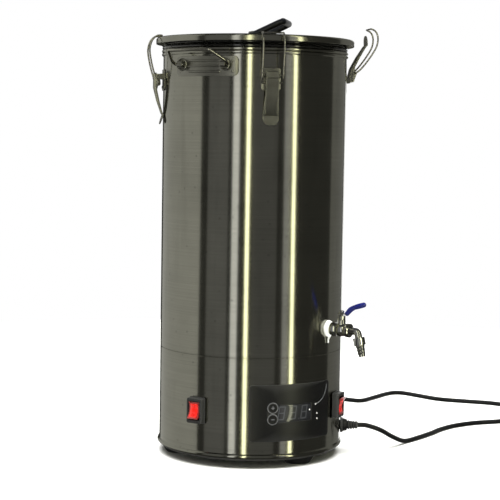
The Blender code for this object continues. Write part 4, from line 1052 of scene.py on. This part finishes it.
@dataclass(frozen=True)
class CarryHandle:
    """Pressed plate welded to the wall with two lugs and a bright wire bail."""

    side: str
    angle: float
    height: float = 0.6300
    plate: tuple[float, float] = (0.117, 0.031)
    metal: float = 0.0020
    lugs: float = 0.080
    lug_out: float = 0.0065
    lug_up: float = 0.0025
    lug_radius: float = 0.0060
    lug_length: float = 0.012
    rod: float = 0.0024
    reach: float = 0.042
    lean: float = 29.0

    def build(self) -> None:
        """Builds the plate and the bail."""
        place = BODY.on_wall(self.angle, self.height)
        install(f"carry_plate_{self.side}", moved(self._plate(), place), STRIP_STEEL, "kettle",
                [f"handle_plate_{self.side}"])
        pivot = Matrix.Translation((0, -self.lug_out, self.lug_up))
        tilt = Matrix.Rotation(math.radians(-self.lean), 4, "X")
        install(f"carry_bail_{self.side}", moved(self._bail(), place @ pivot @ tilt), WIRE_STEEL,
                f"bail_{self.side}", [f"carry_handle_{self.side}"])

    def _plate(self) -> BMesh:
        """The wrapped plate with its rolled lugs and three pressed ribs between them."""
        width, height = self.plate
        flat = upright(prism(rounded_rectangle(width, height, 0.008, 8), self.metal, 0.0004),
                       BODY.gap + self.metal / 2)
        pieces = [wrapped(flat)]
        for rise in (-0.0085, 0.0, 0.0085):
            rib = [Vector((x, -(BODY.gap + self.metal), rise)) for x in (-0.0285, 0.0, 0.0285)]
            pieces.append(wrapped(swept(rib, 0.0017, 12, 1.0)))
        for spot in (-width / 2 + 0.009, width / 2 - 0.009):
            for rise in (-0.008, 0.008):
                weld = Matrix.Rotation(spot / BODY.radius, 4, "Z")
                middle = Matrix.Translation((0, BODY.radius, 0))
                reach = Matrix.Translation((0, -BODY.radius - BODY.gap - self.metal + 0.0002, rise))
                pieces.append(moved(dome(0.0024, 0.0009), middle @ weld @ reach @ OUTWARD))
        for end in (-1, 1):
            spot = (end * self.lugs / 2, -BODY.gap - self.metal, self.lug_up)
            cup = [(0.0, 0.0004), (0.0062, 0.0004), (0.0076, 0.0018), (0.0088, 0.0022),
                   (0.0098, 0.0016), (0.0102, 0.0), (0.0, 0.0)]
            pieces.append(moved(spun(cup, 40), Matrix.Translation(spot) @ OUTWARD))
        barrel, hole = self.lug_length / 2 - 0.0010, self.rod + 0.0006
        ring = [
            (hole, -barrel), (hole + 0.0012, -barrel), (hole + 0.0017, -barrel + 0.0006),
            (hole + 0.0017, barrel - 0.0006), (hole + 0.0012, barrel), (hole, barrel),
        ]
        for end in (-1, 1):
            spot = Matrix.Translation((end * self.lugs / 2, -self.lug_out, self.lug_up))
            pieces.append(moved(spun(ring, 32, ring=True), spot @ ACROSS))
            for side in (-1, 1):
                foot = block((self.lug_length, 0.0030, 0.0014), 0.0004)
                pieces.append(moved(foot, spot @ Matrix.Translation(
                    (0, self.lug_out - 0.0030, side * (self.lug_radius - 0.0012)))))
        return joined(*pieces)

    def _bail(self) -> BMesh:
        """The wire about its pivot, its ends turned in to the lugs."""
        inside = (self.lugs - self.lug_length) / 2 + 0.001
        outside = (self.lugs + self.lug_length) / 2 + self.rod + 0.0013
        half = [(inside, 0), (outside, 0), (outside, 0.012), (self.lugs / 2 - 0.002, self.reach)]
        path = [Vector((-x, -out, 0)) for x, out in half]
        path += [Vector((x, -out, 0)) for x, out in reversed(half)]
        return swept(corners_rounded(path, 0.0034, 6), self.rod, 16)


@dataclass(frozen=True)
class DrainTap:
    """Plated ball valve with tape at the wall, a blue-sleeved lever and a ribbed hose tail."""

    angle: float = 27.0
    height: float = 0.217
    body: float = 0.0112
    end: float = 0.043
    tail: float = 0.0080
    tail_length: float = 0.0120
    bore: float = 0.0045
    ball: float = 0.0072
    stem_out: float = 0.026
    stem: float = 0.0022
    tape: float = 0.0130
    tape_end: float = 0.0085
    packing: tuple[float, float, float] = (0.0072, 0.0165, 0.0235)
    lever_nut: tuple[float, float] = (0.0046, 0.0035)
    lever_up: float = 0.0252
    lever_metal: float = 0.0018
    lever_width: float = 0.0090
    sleeve: float = 0.0042
    sleeve_path: tuple[tuple[float, float], ...] = (
        (0.0095, 0.0010), (0.0165, 0.0085), (0.0235, 0.0125), (0.0410, 0.0180))
    elbow_out: float = 0.0560
    elbow_drop: float = 0.0095
    elbow: float = 0.0060
    outlet_lean: float = 14.0
    outlet_bore: float = 0.0042
    collar: float = 0.0108
    collar_height: float = 0.0125
    barb_length: float = 0.0185
    barb: float = 0.0073
    barb_pitch: float = 0.0050

    def build(self) -> None:
        """Builds the tap in its place on the wall."""
        place = BODY.on_wall(self.angle, self.height)
        stem = place @ Matrix.Translation((0, -self.stem_out, 0))
        self._valve(place @ OUTWARD, stem)
        self._handle(stem)
        self._outlet(place)
        self._tape(place)
        dress("tap_ball", TAP_CHROME)
        dress("tap_backnut", TAP_CHROME)

    def _valve(self, axis: Matrix, stem: Matrix) -> None:
        """Turned valve body with rounded shoulders, and the packing nut on its neck."""
        bore, body, tail = self.bore, self.body, self.tail
        shoulder, mid = self.tape_end + BODY.gap, self.stem_out
        cavity = self.ball + 2 * BODY.gap
        half = math.sqrt(cavity ** 2 - bore ** 2)
        inside = [(math.sqrt(max(cavity ** 2 - d ** 2, bore ** 2)), mid + d)
                  for d in (half * k / 5 for k in range(-5, 6))]
        profile = [
            (bore, self.end), (body - 0.0012, self.end), (body, self.end - 0.0008),
            (body, self.end - 0.0040), (body - 0.0010, self.end - 0.0048),
            (body - 0.0002, self.end - 0.0058), (body - 0.0004, mid + 0.0095),
            (body - 0.0022, mid + 0.0070), (body - 0.0010, mid + 0.0045),
            (body - 0.0002, mid), (body - 0.0010, mid - 0.0045), (body - 0.0022, mid - 0.0070),
            (body - 0.0004, mid - 0.0095), (body, shoulder + 0.0030), (body - 0.0004, shoulder),
            (tail, shoulder), (tail, -self.tail_length), (bore, -self.tail_length), *inside,
        ]
        radius, low, high = self.packing
        neck = spun([(0.0, self.ball + 0.001), (radius - 0.0004, self.ball + 0.001),
                     (radius - 0.0008, low - 0.0006), (radius - 0.0016, low), (0.0, low)], 32)
        valve = joined(moved(spun(profile, 48, ring=True), axis), moved(neck, stem))
        install("tap_valve_body", valve, TAP_CHROME, "kettle", ["tap_body"])
        chamfer = 0.0008
        crown = moved(dome(radius * 0.82, chamfer, 32),
                      Matrix.Translation((0, 0, high - chamfer)))
        gland = joined(hexagon(radius, low, high - chamfer), crown)
        install("tap_gland_nut", moved(gland, stem), TAP_CHROME, "kettle",
                ["tap_packing_nut"])

    def _handle(self, stem: Matrix) -> None:
        """Lever plate clamped by its nut, with the dipped sleeve over its crank."""
        low, high = self.lever_up, self.lever_up + self.lever_metal
        tip = self.sleeve_path[0][0] + 0.0015
        half = self.lever_width / 2
        nose = circle_points((-0.002, 0.0), half, 90, 270, 12)
        outline = [(-y, -x) for x, y in ((tip, -half), (tip, half), *nose)]
        plate = moved(prism(outline, self.lever_metal, 0.0003),
                      stem @ Matrix.Translation((0, 0, (low + high) / 2)))
        install("tap_lever_plate", plate, TAP_CHROME, "tap_turn", ["tap_lever"])
        path = corners_rounded([Vector((0, -out, low + up)) for out, up in self.sleeve_path], 0.012)
        path = smooth_route(path, 30)
        size = self.sleeve
        radii = [size * (1.0 - 0.10 * math.cos(FULL_TURN * i / 29) ** 2 + 0.06 * (i > 24))
                 for i in range(30)]
        sleeve = moved(swept(path, size, 20, 0.8, radii), stem)
        install("tap_lever_grip", sleeve, SLEEVE_VINYL, "tap_turn",
                ["tap_lever_sleeve"])
        radius, height = self.lever_nut
        base = high + BODY.gap
        tip_rod = moved(dome(self.stem, 0.0008), Matrix.Translation((0, 0, base + height)))
        nut = joined(hexagon(radius, base, base + height), tip_rod)
        install("tap_lever_fixing", moved(nut, stem), TAP_CHROME, "tap_turn",
                ["tap_lever_nut"])

    def _outlet(self, place: Matrix) -> None:
        """Elbow, six-sided collar and the hose tail with three barbs."""
        down = place @ Matrix.Translation((0, -self.elbow_out, 0))
        down = down @ Matrix.Rotation(math.radians(-self.outlet_lean), 4, "X")
        local = place.inverted() @ down
        corners = [Vector((0, -self.end - BODY.gap, 0)), Vector((0, -self.elbow_out, 0)),
                   local @ Vector((0, 0, -self.elbow_drop))]
        path = corners_rounded(corners, 0.0085, 12)
        bend = swept(path, self.elbow, 28, 0.15)
        install("tap_elbow_casting", moved(bend, place), TAP_CHROME, "kettle",
                ["tap_elbow"])
        bore, top = self.outlet_bore, -self.elbow_drop - BODY.gap
        low = top - self.collar_height
        neck = self.barb - 0.0006
        profile = [(bore, low + 0.001), (neck, low + 0.001), (neck, low)]
        for i in range(3):
            ridge, radius = low - 0.0018 - i * self.barb_pitch, self.barb - 0.0003 * i
            profile += [
                (radius - 0.0002, ridge + 0.0006), (radius, ridge),
                (radius - 0.0004, ridge - 0.0005),
                (radius - 0.0012, ridge - self.barb_pitch + 0.0012)]
        tip = low - self.barb_length
        profile += [(bore + 0.0008, tip), (bore + 0.0001, tip), (bore, tip + 0.0004)]
        tail = joined(hexagon(self.collar, low, top), spun(profile, 36, ring=True))
        install("tap_hose_tail", moved(tail, down), TAP_CHROME, "kettle",
                ["hose_barb"])

    def _tape(self, place: Matrix) -> None:
        """Thread tape wound on thick at the wall: lumpy turns and a run that hangs below."""
        blob = bmesh.new()
        bmesh.ops.create_uvsphere(blob, u_segments=48, v_segments=28, radius=1.0)
        reach, end = self.tape * 0.98, self.tape_end
        bmesh.ops.scale(blob, vec=(reach, end * 0.75, reach * 1.04), verts=blob.verts)
        bmesh.ops.translate(blob, vec=(0, -end * 0.28, 0), verts=blob.verts)
        for v in blob.verts:
            lump = noise.noise(v.co * 190.0) * 0.0011 + noise.noise(v.co * 520.0) * 0.0004
            v.co += v.co.normalized() * lump
        run = [Vector((x, -out, z)) for x, out, z in (
            (0.002, 0.0040, -0.0085), (0.0008, 0.0034, -0.0125), (-0.0006, 0.0026, -0.0160),
            (-0.0008, 0.0022, -0.0195), (-0.0004, 0.0020, -0.0222))]
        drip = swept(smooth_route(run, 14), 0.0020, 12, 0.9,
                     [0.0024 - 0.0014 * i / 13 + 0.0004 * (i > 10) for i in range(14)])
        install("tap_tape_winding", moved(joined(blob, drip), place), THREAD_TAPE, "kettle",
                ["tap_sealing_tape"], 60.0)


class Mark(Enum):
    """The generic mark on a button."""

    PLUS = "plus"
    MINUS = "minus"


@dataclass(frozen=True)
class ControlPanel:
    """Matt overlay with a smoked window, three unlit digits, two buttons and four lamps."""

    height: float = 0.089
    size: tuple[float, float] = (0.148, 0.090)
    thickness: float = 0.0018
    corner: float = 0.006
    window: tuple[float, float] = (0.0605, 0.027)
    window_at: tuple[float, float] = (0.0008, -0.001)
    digits_along: float = -0.0026
    digit: tuple[float, float] = (0.0112, 0.0218)
    digit_pitch: float = 0.0199
    digit_slant: float = 8.0
    stroke: float = 0.0018
    button_angle: float = -14.1
    button_heights: tuple[tuple[Mark, float], ...] = ((Mark.PLUS, 0.0976), (Mark.MINUS, 0.0793))
    button: float = 0.0077
    button_proud: float = 0.0008
    lamps: tuple[tuple[float, float], ...] = (
        (15.7, 0.0985), (10.8, 0.0910), (17.0, 0.0833), (17.1, 0.0749))

    @property
    def face(self) -> float:
        """How far the overlay's face stands off the wall."""
        return BODY.gap + self.thickness

    def build(self) -> None:
        """Builds the overlay and everything on it."""
        place = BODY.on_wall(0, self.height)
        self._overlay(place)
        self._window(place)
        self._lamps()
        for mark, height in self.button_heights:
            self._button(mark, height)

    def _overlay(self, place: Matrix) -> None:
        """The overlay, pierced for the window and the buttons."""
        wide, tall = (size + 2 * BODY.gap for size in self.window)
        frame_of = shifted(rounded_rectangle(wide, tall, 0.0012), *self.window_at)
        along = math.radians(self.button_angle) * BODY.radius
        holes = [frame_of] + [
            circle_points((along, z - self.height), self.button + 0.0003, 0, 352.5, 47)
            for _, z in self.button_heights]
        outline = rounded_rectangle(*self.size, self.corner, 8)
        sheet = pierced(outline, holes, self.thickness, 0.0004)
        sheet = wrapped(upright(sheet, BODY.gap + self.thickness / 2))
        rings = [self._printed(self._ring_at(along, z - self.height, self.button + 0.0006))
                 for _, z in self.button_heights]
        install("panel_overlay", moved(sheet, place), PANEL_FILM, "kettle",
                ["panel_fascia"])
        # A thin grey arc across the overlay's upper right corner, laid on its face in the grey ink
        # material.
        sweep = circle_points((0.0385, 0.0385), 0.0290, -90, 0, 24)
        inner = circle_points((0.0385, 0.0385), 0.0280, 0, -90, 24)
        rings.append(self._printed(prism(sweep + inner, 0.00012)))
        install("panel_print_and_arc", moved(joined(*rings), place), PRINT_INK, "kettle")

    def _ring_at(self, along: float, up: float, radius: float) -> BMesh:
        """A thin printed ring round a button."""
        return pierced(circle_points((along, up), radius + 0.0003, 0, 352.5, 47),
                       [circle_points((along, up), radius - 0.0003, 0, 352.5, 47)], 0.00012)

    def _printed(self, flat: BMesh) -> BMesh:
        """Lays a flat print on the overlay's face."""
        return wrapped(upright(flat, self.face + 0.00003))

    def _window(self, place: Matrix) -> None:
        """Smoked window, just below the overlay's face, with the digits showing in it."""
        pane = shifted(rounded_rectangle(*self.window, 0.0010), *self.window_at)
        glass = wrapped(upright(prism(pane, self.thickness - 0.0003, 0.0002),
                                BODY.gap + (self.thickness - 0.0003) / 2))
        install("panel_window_pane", moved(glass, place), SMOKED_ACRYLIC, "kettle",
                ["display_window"])
        strokes = []
        for i in (-1, 0, 1):
            strokes += self._digit(self.digits_along + i * self.digit_pitch,
                                   self.window_at[1] + 0.0008)
        dot_at = (self.digits_along + self.digit_pitch * 0.5, self.window_at[1] - 0.0093)
        strokes.append(prism(circle_points(dot_at, 0.0011, 0, 345, 23), 0.0001))
        shown = [wrapped(upright(s, self.face - 0.00026)) for s in strokes]
        install("panel_digits", moved(joined(*shown), place), DARK_SEGMENT, "kettle")

    def _digit(self, along: float, up: float) -> list[BMesh]:
        """Seven strokes of one digit.

        Args:
            along: Middle of the digit along the wall.
            up: Middle of the digit above the panel's own.

        Returns:
            A thin plate for each stroke.
        """
        wide, tall = self.digit
        half, lean = self.stroke / 2, math.tan(math.radians(self.digit_slant))
        spots = [(0, tall / 2 - half, True), (0, 0, True), (0, half - tall / 2, True)]
        spots += [(sx * (wide / 2 - half), sy * (tall - self.stroke) / 4, False)
                  for sx in (-1, 1) for sy in (-1, 1)]
        strokes = []
        for x, y, level in spots:
            long_way = (wide if level else tall / 2 + half) / 2 - half * 1.15
            bar = [(-long_way - half * 0.9, 0), (-long_way, half * 0.92), (long_way, half * 0.92),
                   (long_way + half * 0.9, 0), (long_way, -half * 0.92), (-long_way, -half * 0.92)]
            if not level:
                bar = [(-v, u) for u, v in bar]
            bar = [(u + (v + y) * lean, v) for u, v in bar]
            strokes.append(prism(shifted(bar, along + x, up + y), 0.0001))
        return strokes

    def _button(self, mark: Mark, height: float) -> None:
        """A round key with its raised mark."""
        place = BODY.on_wall(self.button_angle, height) @ OUTWARD
        face = self.face + self.button_proud
        r = self.button
        cap = spun([(0.0, face - 0.0002), (r * 0.7, face - 0.0001), (r - 0.0008, face),
                    (r - 0.0002, face - 0.0002), (r, face - 0.0007), (r, face - 0.0016),
                    (0.0, face - 0.0016)], 48)
        body = f"{mark.value}_key"
        install(f"key_{mark.value}", moved(cap, place), PANEL_FILM, body,
                [f"button_{mark.value}"])
        bars = [prism(rounded_rectangle(0.0056, 0.0009, 0.0003, 3), 0.00016)]
        if mark is Mark.PLUS:
            bars.append(prism(rounded_rectangle(0.0009, 0.0056, 0.0003, 3), 0.00016))
        sign = moved(joined(*bars), place @ Matrix.Translation((0, 0, face - 0.0001)))
        install(f"key_{mark.value}_sign", sign, PRINT_INK, body)

    def _lamps(self) -> None:
        """Four small indicator lamps in and beside the window."""
        domes = [moved(dome(0.0013, 0.0005), BODY.on_wall(angle, z, self.face - 0.0001) @ OUTWARD)
                 for angle, z in self.lamps]
        install("panel_lamps", joined(*domes), LAMP_RESIN, "kettle")


@dataclass(frozen=True)
class Switch:
    """Hooded black case with a red rocker on a pivot across it."""

    side: str
    angle: float
    tilt: float
    height: float = 0.089
    case: tuple[float, float] = (0.028, 0.040)
    proud: float = 0.012
    rocker: tuple[float, float] = (0.0190, 0.0272)
    pivot: float = 0.009
    rocker_gap: float = 0.0009
    dish_out: float = 0.0245        # centre of the rocker's hollow, off its pivot
    dish: float = 0.0225

    def build(self) -> None:
        """Builds the case and the rocker."""
        place = BODY.on_wall(self.angle, self.height)
        install(f"switch_hood_{self.side}", moved(self._case(), place), BLACK_ABS, "kettle",
                [f"switch_case_{self.side}"])
        pivot = place @ Matrix.Translation((0, -self.pivot, 0))
        tilted = pivot @ Matrix.Rotation(math.radians(-self.tilt), 4, "X")
        body = f"rocker_{self.side}"
        install(f"switch_frame_{self.side}", moved(self._frame(), tilted), ROCKER_FRAME, body,
                [f"switch_rocker_{self.side}"], 50.0)
        install(f"switch_lens_{self.side}", moved(self._lens(), tilted), ROCKER_LENS, body)

    def _case(self) -> BMesh:
        """Hood with a pocket for the rocker, a step round its foot and a dark liner."""
        wide, tall = self.rocker[0] + 2 * self.rocker_gap, self.rocker[1] + 2 * self.rocker_gap
        pocket = rounded_rectangle(wide, tall, 0.0008, 3)
        depth = self.proud - 0.0008
        hood = upright(pierced(rounded_rectangle(*self.case, 0.0028), [pocket], depth, 0.0009),
                       self.proud - depth / 2)
        flange = pierced(rounded_rectangle(self.case[0] + 0.002, self.case[1] + 0.002, 0.0034),
                         [pocket], 0.0020, 0.0005)
        liner = upright(prism(pocket, 0.0004), 0.0009)
        return joined(hood, upright(flange, 0.0022), liner)

    def _frame(self) -> BMesh:
        """The rocker: a dished block about its pivot."""
        wide, half = self.rocker[0], self.rocker[1] / 2
        crown = circle_points((self.dish_out, 0.0), self.dish, 180 - 36, 180 + 36, 16)
        outline = [(-0.0040, -0.0050), (-0.0040, 0.0050), (0.0030, half), *crown, (0.0030, -half)]
        return sideways(outline, wide, 0.0, 0.0005)

    def _lens(self) -> BMesh:
        """Brighter red window with a faint painted glow, let into the rocker's dished face, with a
        ring and a bar on it.
        """
        half, wide = self.rocker[1] / 2 - 0.0030, self.rocker[0] - 0.0050
        stations = []
        for i in range(17):
            up = -half + 2 * half * i / 16
            out = self.dish_out - math.sqrt(self.dish ** 2 - up ** 2) + 0.0001
            stations.append((out, up, wide))
        pane = ribbon(stations, 0.0004, 4)
        bar = moved(block((0.0012, 0.0006, 0.0048), 0.0002),
                    Matrix.Translation((0, -0.0042, 0.0065)))
        ring = pierced(circle_points((0, 0), 0.0026, 0, 345, 23),
                       [circle_points((0, 0), 0.0018, 0, 345, 23)], 0.0006)
        ring = moved(upright(ring), Matrix.Translation((0, -0.0042, -0.0065)))
        return joined(pane, bar, ring)


@dataclass(frozen=True)
class MainsLead:
    """Ribbed gland in the base wall, a round lead lying on the table and its moulded plug."""

    angle: float = 60.0
    height: float = 0.045
    tail: float = 0.0080
    mouth: float = 0.030
    radius: float = 0.0040
    length: float = 1.53
    points: int = 260
    plug: float = 0.0180
    plug_length: float = 0.040
    pin: float = 0.0024
    pin_length: float = 0.019
    pin_spacing: float = 0.019
    route: tuple[tuple[float, float, float], ...] = (
        (0.1516, -0.0745, 0.045), (0.1635, -0.0813, 0.0448), (0.188, -0.087, 0.036),
        (0.223, -0.073, 0.0185), (0.259, -0.054, 0.005), (0.295, -0.039, 0.004),
        (0.343, -0.014, 0.004), (0.376, 0.006, 0.004), (0.421, 0.024, 0.004), (0.472, 0.03, 0.004),
        (0.526, 0.024, 0.004), (0.582, 0.03, 0.004), (0.627, 0.063, 0.004), (0.641, 0.119, 0.004),
        (0.623, 0.174, 0.004), (0.587, 0.214, 0.004), (0.551, 0.254, 0.004), (0.536, 0.297, 0.004),
        (0.525, 0.334, 0.004), (0.512, 0.351, 0.004), (0.487, 0.349, 0.004), (0.432, 0.32, 0.004),
        (0.396, 0.304, 0.004), (0.377, 0.325, 0.004), (0.357, 0.356, 0.004), (0.327, 0.385, 0.004),
        (0.283, 0.409, 0.004), (0.232, 0.42, 0.004), (0.173, 0.415, 0.004), (0.121, 0.393, 0.004),
        (0.086, 0.353, 0.004), (0.08, 0.303, 0.004), (0.101, 0.263, 0.0065), (0.13, 0.241, 0.013),
        (0.162, 0.224, 0.0183))

    def build(self) -> None:
        route = [Vector(p) for p in self.route]
        lead = self._lead(route)
        gland, plug = self._gland(), self._plug(route)

    def _lead(self, route: list[Vector]) -> bpy.types.Object:
        """The sheath, as a curve with its real thickness."""
        line = bpy.data.curves.new("mains_lead", "CURVE")
        line.dimensions = "3D"
        line.bevel_depth = self.radius
        line.bevel_resolution = 5
        line.use_fill_caps = True
        spline = line.splines.new("POLY")
        spline.points.add(self.points - 1)
        for point, place in zip(spline.points, smooth_route(route, self.points)):
            point.co = (*place, 1.0)
        line.materials.append(CORD_PVC.material())
        lead = bpy.data.objects.new("mains_lead", line)
        bpy.context.scene.collection.objects.link(lead)
        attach(lead, "kettle")
        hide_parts("mains_cord")
        LOG.info("mains_lead: %d points on kettle", self.points)
        return lead

    def _gland(self) -> bpy.types.Object:
        """Strain relief: a collar on the wall, then a taper with ribs that let it bend."""
        bore = self.radius + BODY.gap
        profile = [
            (self.tail, -0.006), (self.tail, 0.0008), (self.tail + 0.0040, 0.0010),
            (self.tail + 0.0045, 0.0016), (self.tail + 0.0045, 0.0049),
            (self.tail + 0.0038, 0.0056), (self.tail + 0.0028, 0.0060),
            (self.tail + 0.0015, 0.0120),
        ]
        for i in range(4):
            at, reach = 0.0132 + i * 0.0040, bore + 0.0036 - 0.0005 * i
            profile += [(reach - 0.0012, at), (reach - 0.0012, at + 0.0010), (reach, at + 0.0016),
                        (reach, at + 0.0032)]
        profile += [(bore + 0.0011, self.mouth), (bore + 0.0003, self.mouth + 0.0006),
                    (bore, self.mouth - 0.0010), (bore, -0.006)]
        place = BODY.on_wall(self.angle, self.height) @ OUTWARD
        return install("lead_strain_relief", moved(spun(profile, 40, ring=True), place), BLACK_ABS,
                       "kettle", ["cord_gland"])

    def _plug(self, route: list[Vector]) -> bpy.types.Object:
        """Round two-pin plug with finger ridges."""
        along = (route[-1] - route[-2]).normalized()
        turn = along.to_track_quat("Z", "X").to_matrix().to_4x4()
        seat = Matrix.Translation(route[-1] + along * BODY.gap) @ turn
        r, length = self.plug, self.plug_length
        profile = [(0.0, 0.0), (0.0058, 0.0), (0.0062, 0.0004), (0.0095, 0.0080)]
        for i in range(3):
            at = 0.0095 + i * 0.0038
            reach = 0.0098 + (r - 0.0098) * (i + 1) / 4
            profile += [(reach, at + 0.0006), (reach + 0.0004, at + 0.0018),
                        (reach - 0.0008, at + 0.0030)]
        profile += [(r - 0.0004, length * 0.55), (r, length * 0.60), (r, length - 0.0012),
                    (r - 0.0004, length - 0.0003), (r - 0.0014, length), (0.0, length)]
        root, tip = length - 0.001, length + self.pin_length
        pin = [(0.0, root), (self.pin, root), (self.pin, tip - 0.0014), (self.pin * 0.6, tip),
               (0.0, tip)]
        pins = [moved(spun(pin, 20), Matrix.Translation((0, end * self.pin_spacing / 2, 0)))
                for end in (-1, 1)]
        body = moved(spun(profile, 48), seat)
        plug = install("lead_plug", body, BLACK_ABS, "kettle", ["mains_plug"])
        install("lead_plug_pins", moved(joined(*pins), seat), WIRE_STEEL, "kettle")
        return plug


# ---- studio ----------------------------------------------------------------------------------
@dataclass(frozen=True)
class Viewpoint:
    """Camera in front of the kettle and a little to its left, level with the middle."""

    place: tuple[float, float, float] = (-1.1518, -2.1409, 0.5324)
    angle: float = -28.0
    drop: float = 0.080
    roll: float = 0.016
    lens: float = 106.6
    shift: tuple[float, float] = (-0.0044, -0.0030)

    def build(self) -> None:
        """Makes the camera the scene's own."""
        turn = math.radians(self.angle)
        ahead = Vector((-math.sin(turn), math.cos(turn), 0))
        forward = ahead * math.cos(self.drop) - Vector((0, 0, math.sin(self.drop)))
        level = Vector((math.cos(turn), math.sin(turn), 0))
        above = level.cross(forward)
        right = level * math.cos(self.roll) + above * math.sin(self.roll)
        up = above * math.cos(self.roll) - level * math.sin(self.roll)
        data = bpy.data.cameras.new("viewpoint")
        data.lens = self.lens
        data.sensor_width = 36.0
        data.shift_x, data.shift_y = self.shift
        data.clip_start = 0.05
        camera = bpy.data.objects.new("viewpoint", data)
        columns = Matrix((right, up, -forward)).transposed().to_4x4()
        camera.matrix_world = Matrix.Translation(self.place) @ columns
        bpy.context.scene.collection.objects.link(camera)
        bpy.context.scene.camera = camera


WARM_WHITE = (1.0, 1.0, 0.94)
TUBE_YELLOW = (1.0, 1.0, 0.68)


@dataclass(frozen=True)
class Lamp:
    """An area light that stands round the kettle, or hangs over it."""

    name: str
    angle: float            # round the kettle, from the camera's side
    width: float
    watts: float
    colour: tuple[float, float, float] = (1.0, 1.0, 1.0)
    tall: float = 3.4
    distance: float = 1.6
    height: float = 0.9

    def build(self, seen_from: float) -> None:
        """Adds the light, turned to the kettle's middle.

        Args:
            seen_from: The camera's own angle round the kettle.
        """
        data = bpy.data.lights.new(self.name, "AREA")
        data.shape = "RECTANGLE"
        data.size, data.size_y = self.width, self.tall
        data.energy = self.watts
        data.color = self.colour
        lamp = bpy.data.objects.new(self.name, data)
        lamp.visible_camera = False
        overhead = self.distance < 1.0
        lamp.visible_glossy = not overhead
        turn = math.radians(self.angle + seen_from)
        spot = Vector((BODY.axis[0] + self.distance * math.sin(turn),
                       BODY.axis[1] - self.distance * math.cos(turn), self.height))
        target = Vector((*BODY.axis, 0.0 if overhead else self.height))
        lamp.matrix_world = Matrix.Translation(spot) @ (
            (target - spot).to_track_quat("-Z", "Y").to_matrix().to_4x4())
        bpy.context.scene.collection.objects.link(lamp)


@dataclass(frozen=True)
class Studio:
    """Pale floor, an overhead softbox and upright panels that the steel wall mirrors."""

    floor: float = 1.7
    lamps: tuple[Lamp, ...] = (
        Lamp("overhead_softbox", 0, 3.4, 330, distance=0.3, height=3.0),
        Lamp("panel_left", -110, 3.0, 14.4, WARM_WHITE),
        Lamp("dim_left", -43, 0.75, 1.18),
        Lamp("band_left", -21, 0.22, 3.1),
        Lamp("strip_left", -6.3, 0.12, 6.0, TUBE_YELLOW),
        Lamp("dim_middle", 14, 0.86, 0.79),
        Lamp("dim_right", 41, 0.22, 1.05),
        Lamp("strip_right", 49.8, 0.12, 6.0, TUBE_YELLOW),
        Lamp("panel_right", 131, 1.2, 1.96, WARM_WHITE),
        Lamp("edge_right", 165, 0.5, 5.4),
    )

    def build(self, seen_from: float) -> None:
        """Builds the floor, the lights and the backdrop."""
        bm = bmesh.new()
        bmesh.ops.create_circle(bm, cap_ends=True, segments=96, radius=self.floor)
        mesh = bpy.data.meshes.new("studio_floor")
        bm.to_mesh(mesh)
        bm.free()
        mesh.materials.append(FLOOR_PAINT.material())
        floor = bpy.data.objects.new("studio_floor", mesh)
        bpy.context.scene.collection.objects.link(floor)
        floor.visible_glossy = False
        for lamp in self.lamps:
            lamp.build(seen_from)
        scene = bpy.context.scene
        scene.world = bpy.data.worlds.new("studio")
        scene.world.use_nodes = True
        tree = scene.world.node_tree
        seen = add_node(tree, "LightPath").outputs["Is Camera Ray"]
        shade = add_node(tree, "Mix", {"data_type": "RGBA", "A_Color": (0.05, 0.05, 0.045, 1),
                                       "B_Color": (1, 1, 1, 1)}, {"Factor_Float": seen})
        tree.links.new(next(s for s in shade.outputs if s.identifier == "Result_Color"),
                       tree.nodes["Background"].inputs["Color"])
        scene.view_settings.view_transform = "Standard"


def main() -> None:
    """Builds the studio and every sub-assembly in order."""
    logging.basicConfig(level=logging.INFO, format="%(name)s %(message)s")
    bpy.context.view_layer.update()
    view = Viewpoint()
    view.build()
    MainsLead().build()
    Studio().build(view.angle)
    Vessel().build()
    Base().build()
    Lid().build()
    for side, angle, opening in (("front", -18.5, 0.0), ("right", 71.5, 166.0),
                                 ("back", 161.5, 0.0), ("left", -108.5, 0.0)):
        Latch(side, angle, opening).build()
    CarryHandle("left", -60.0).build()
    CarryHandle("right", 120.0).build()
    DrainTap().build()
    ControlPanel().build()
    Switch("left", -61.0, 11.0).build()
    Switch("right", 39.0, -11.0).build()
    LOG.info("all sub-assemblies built")


if __name__ == "__main__":
    main()
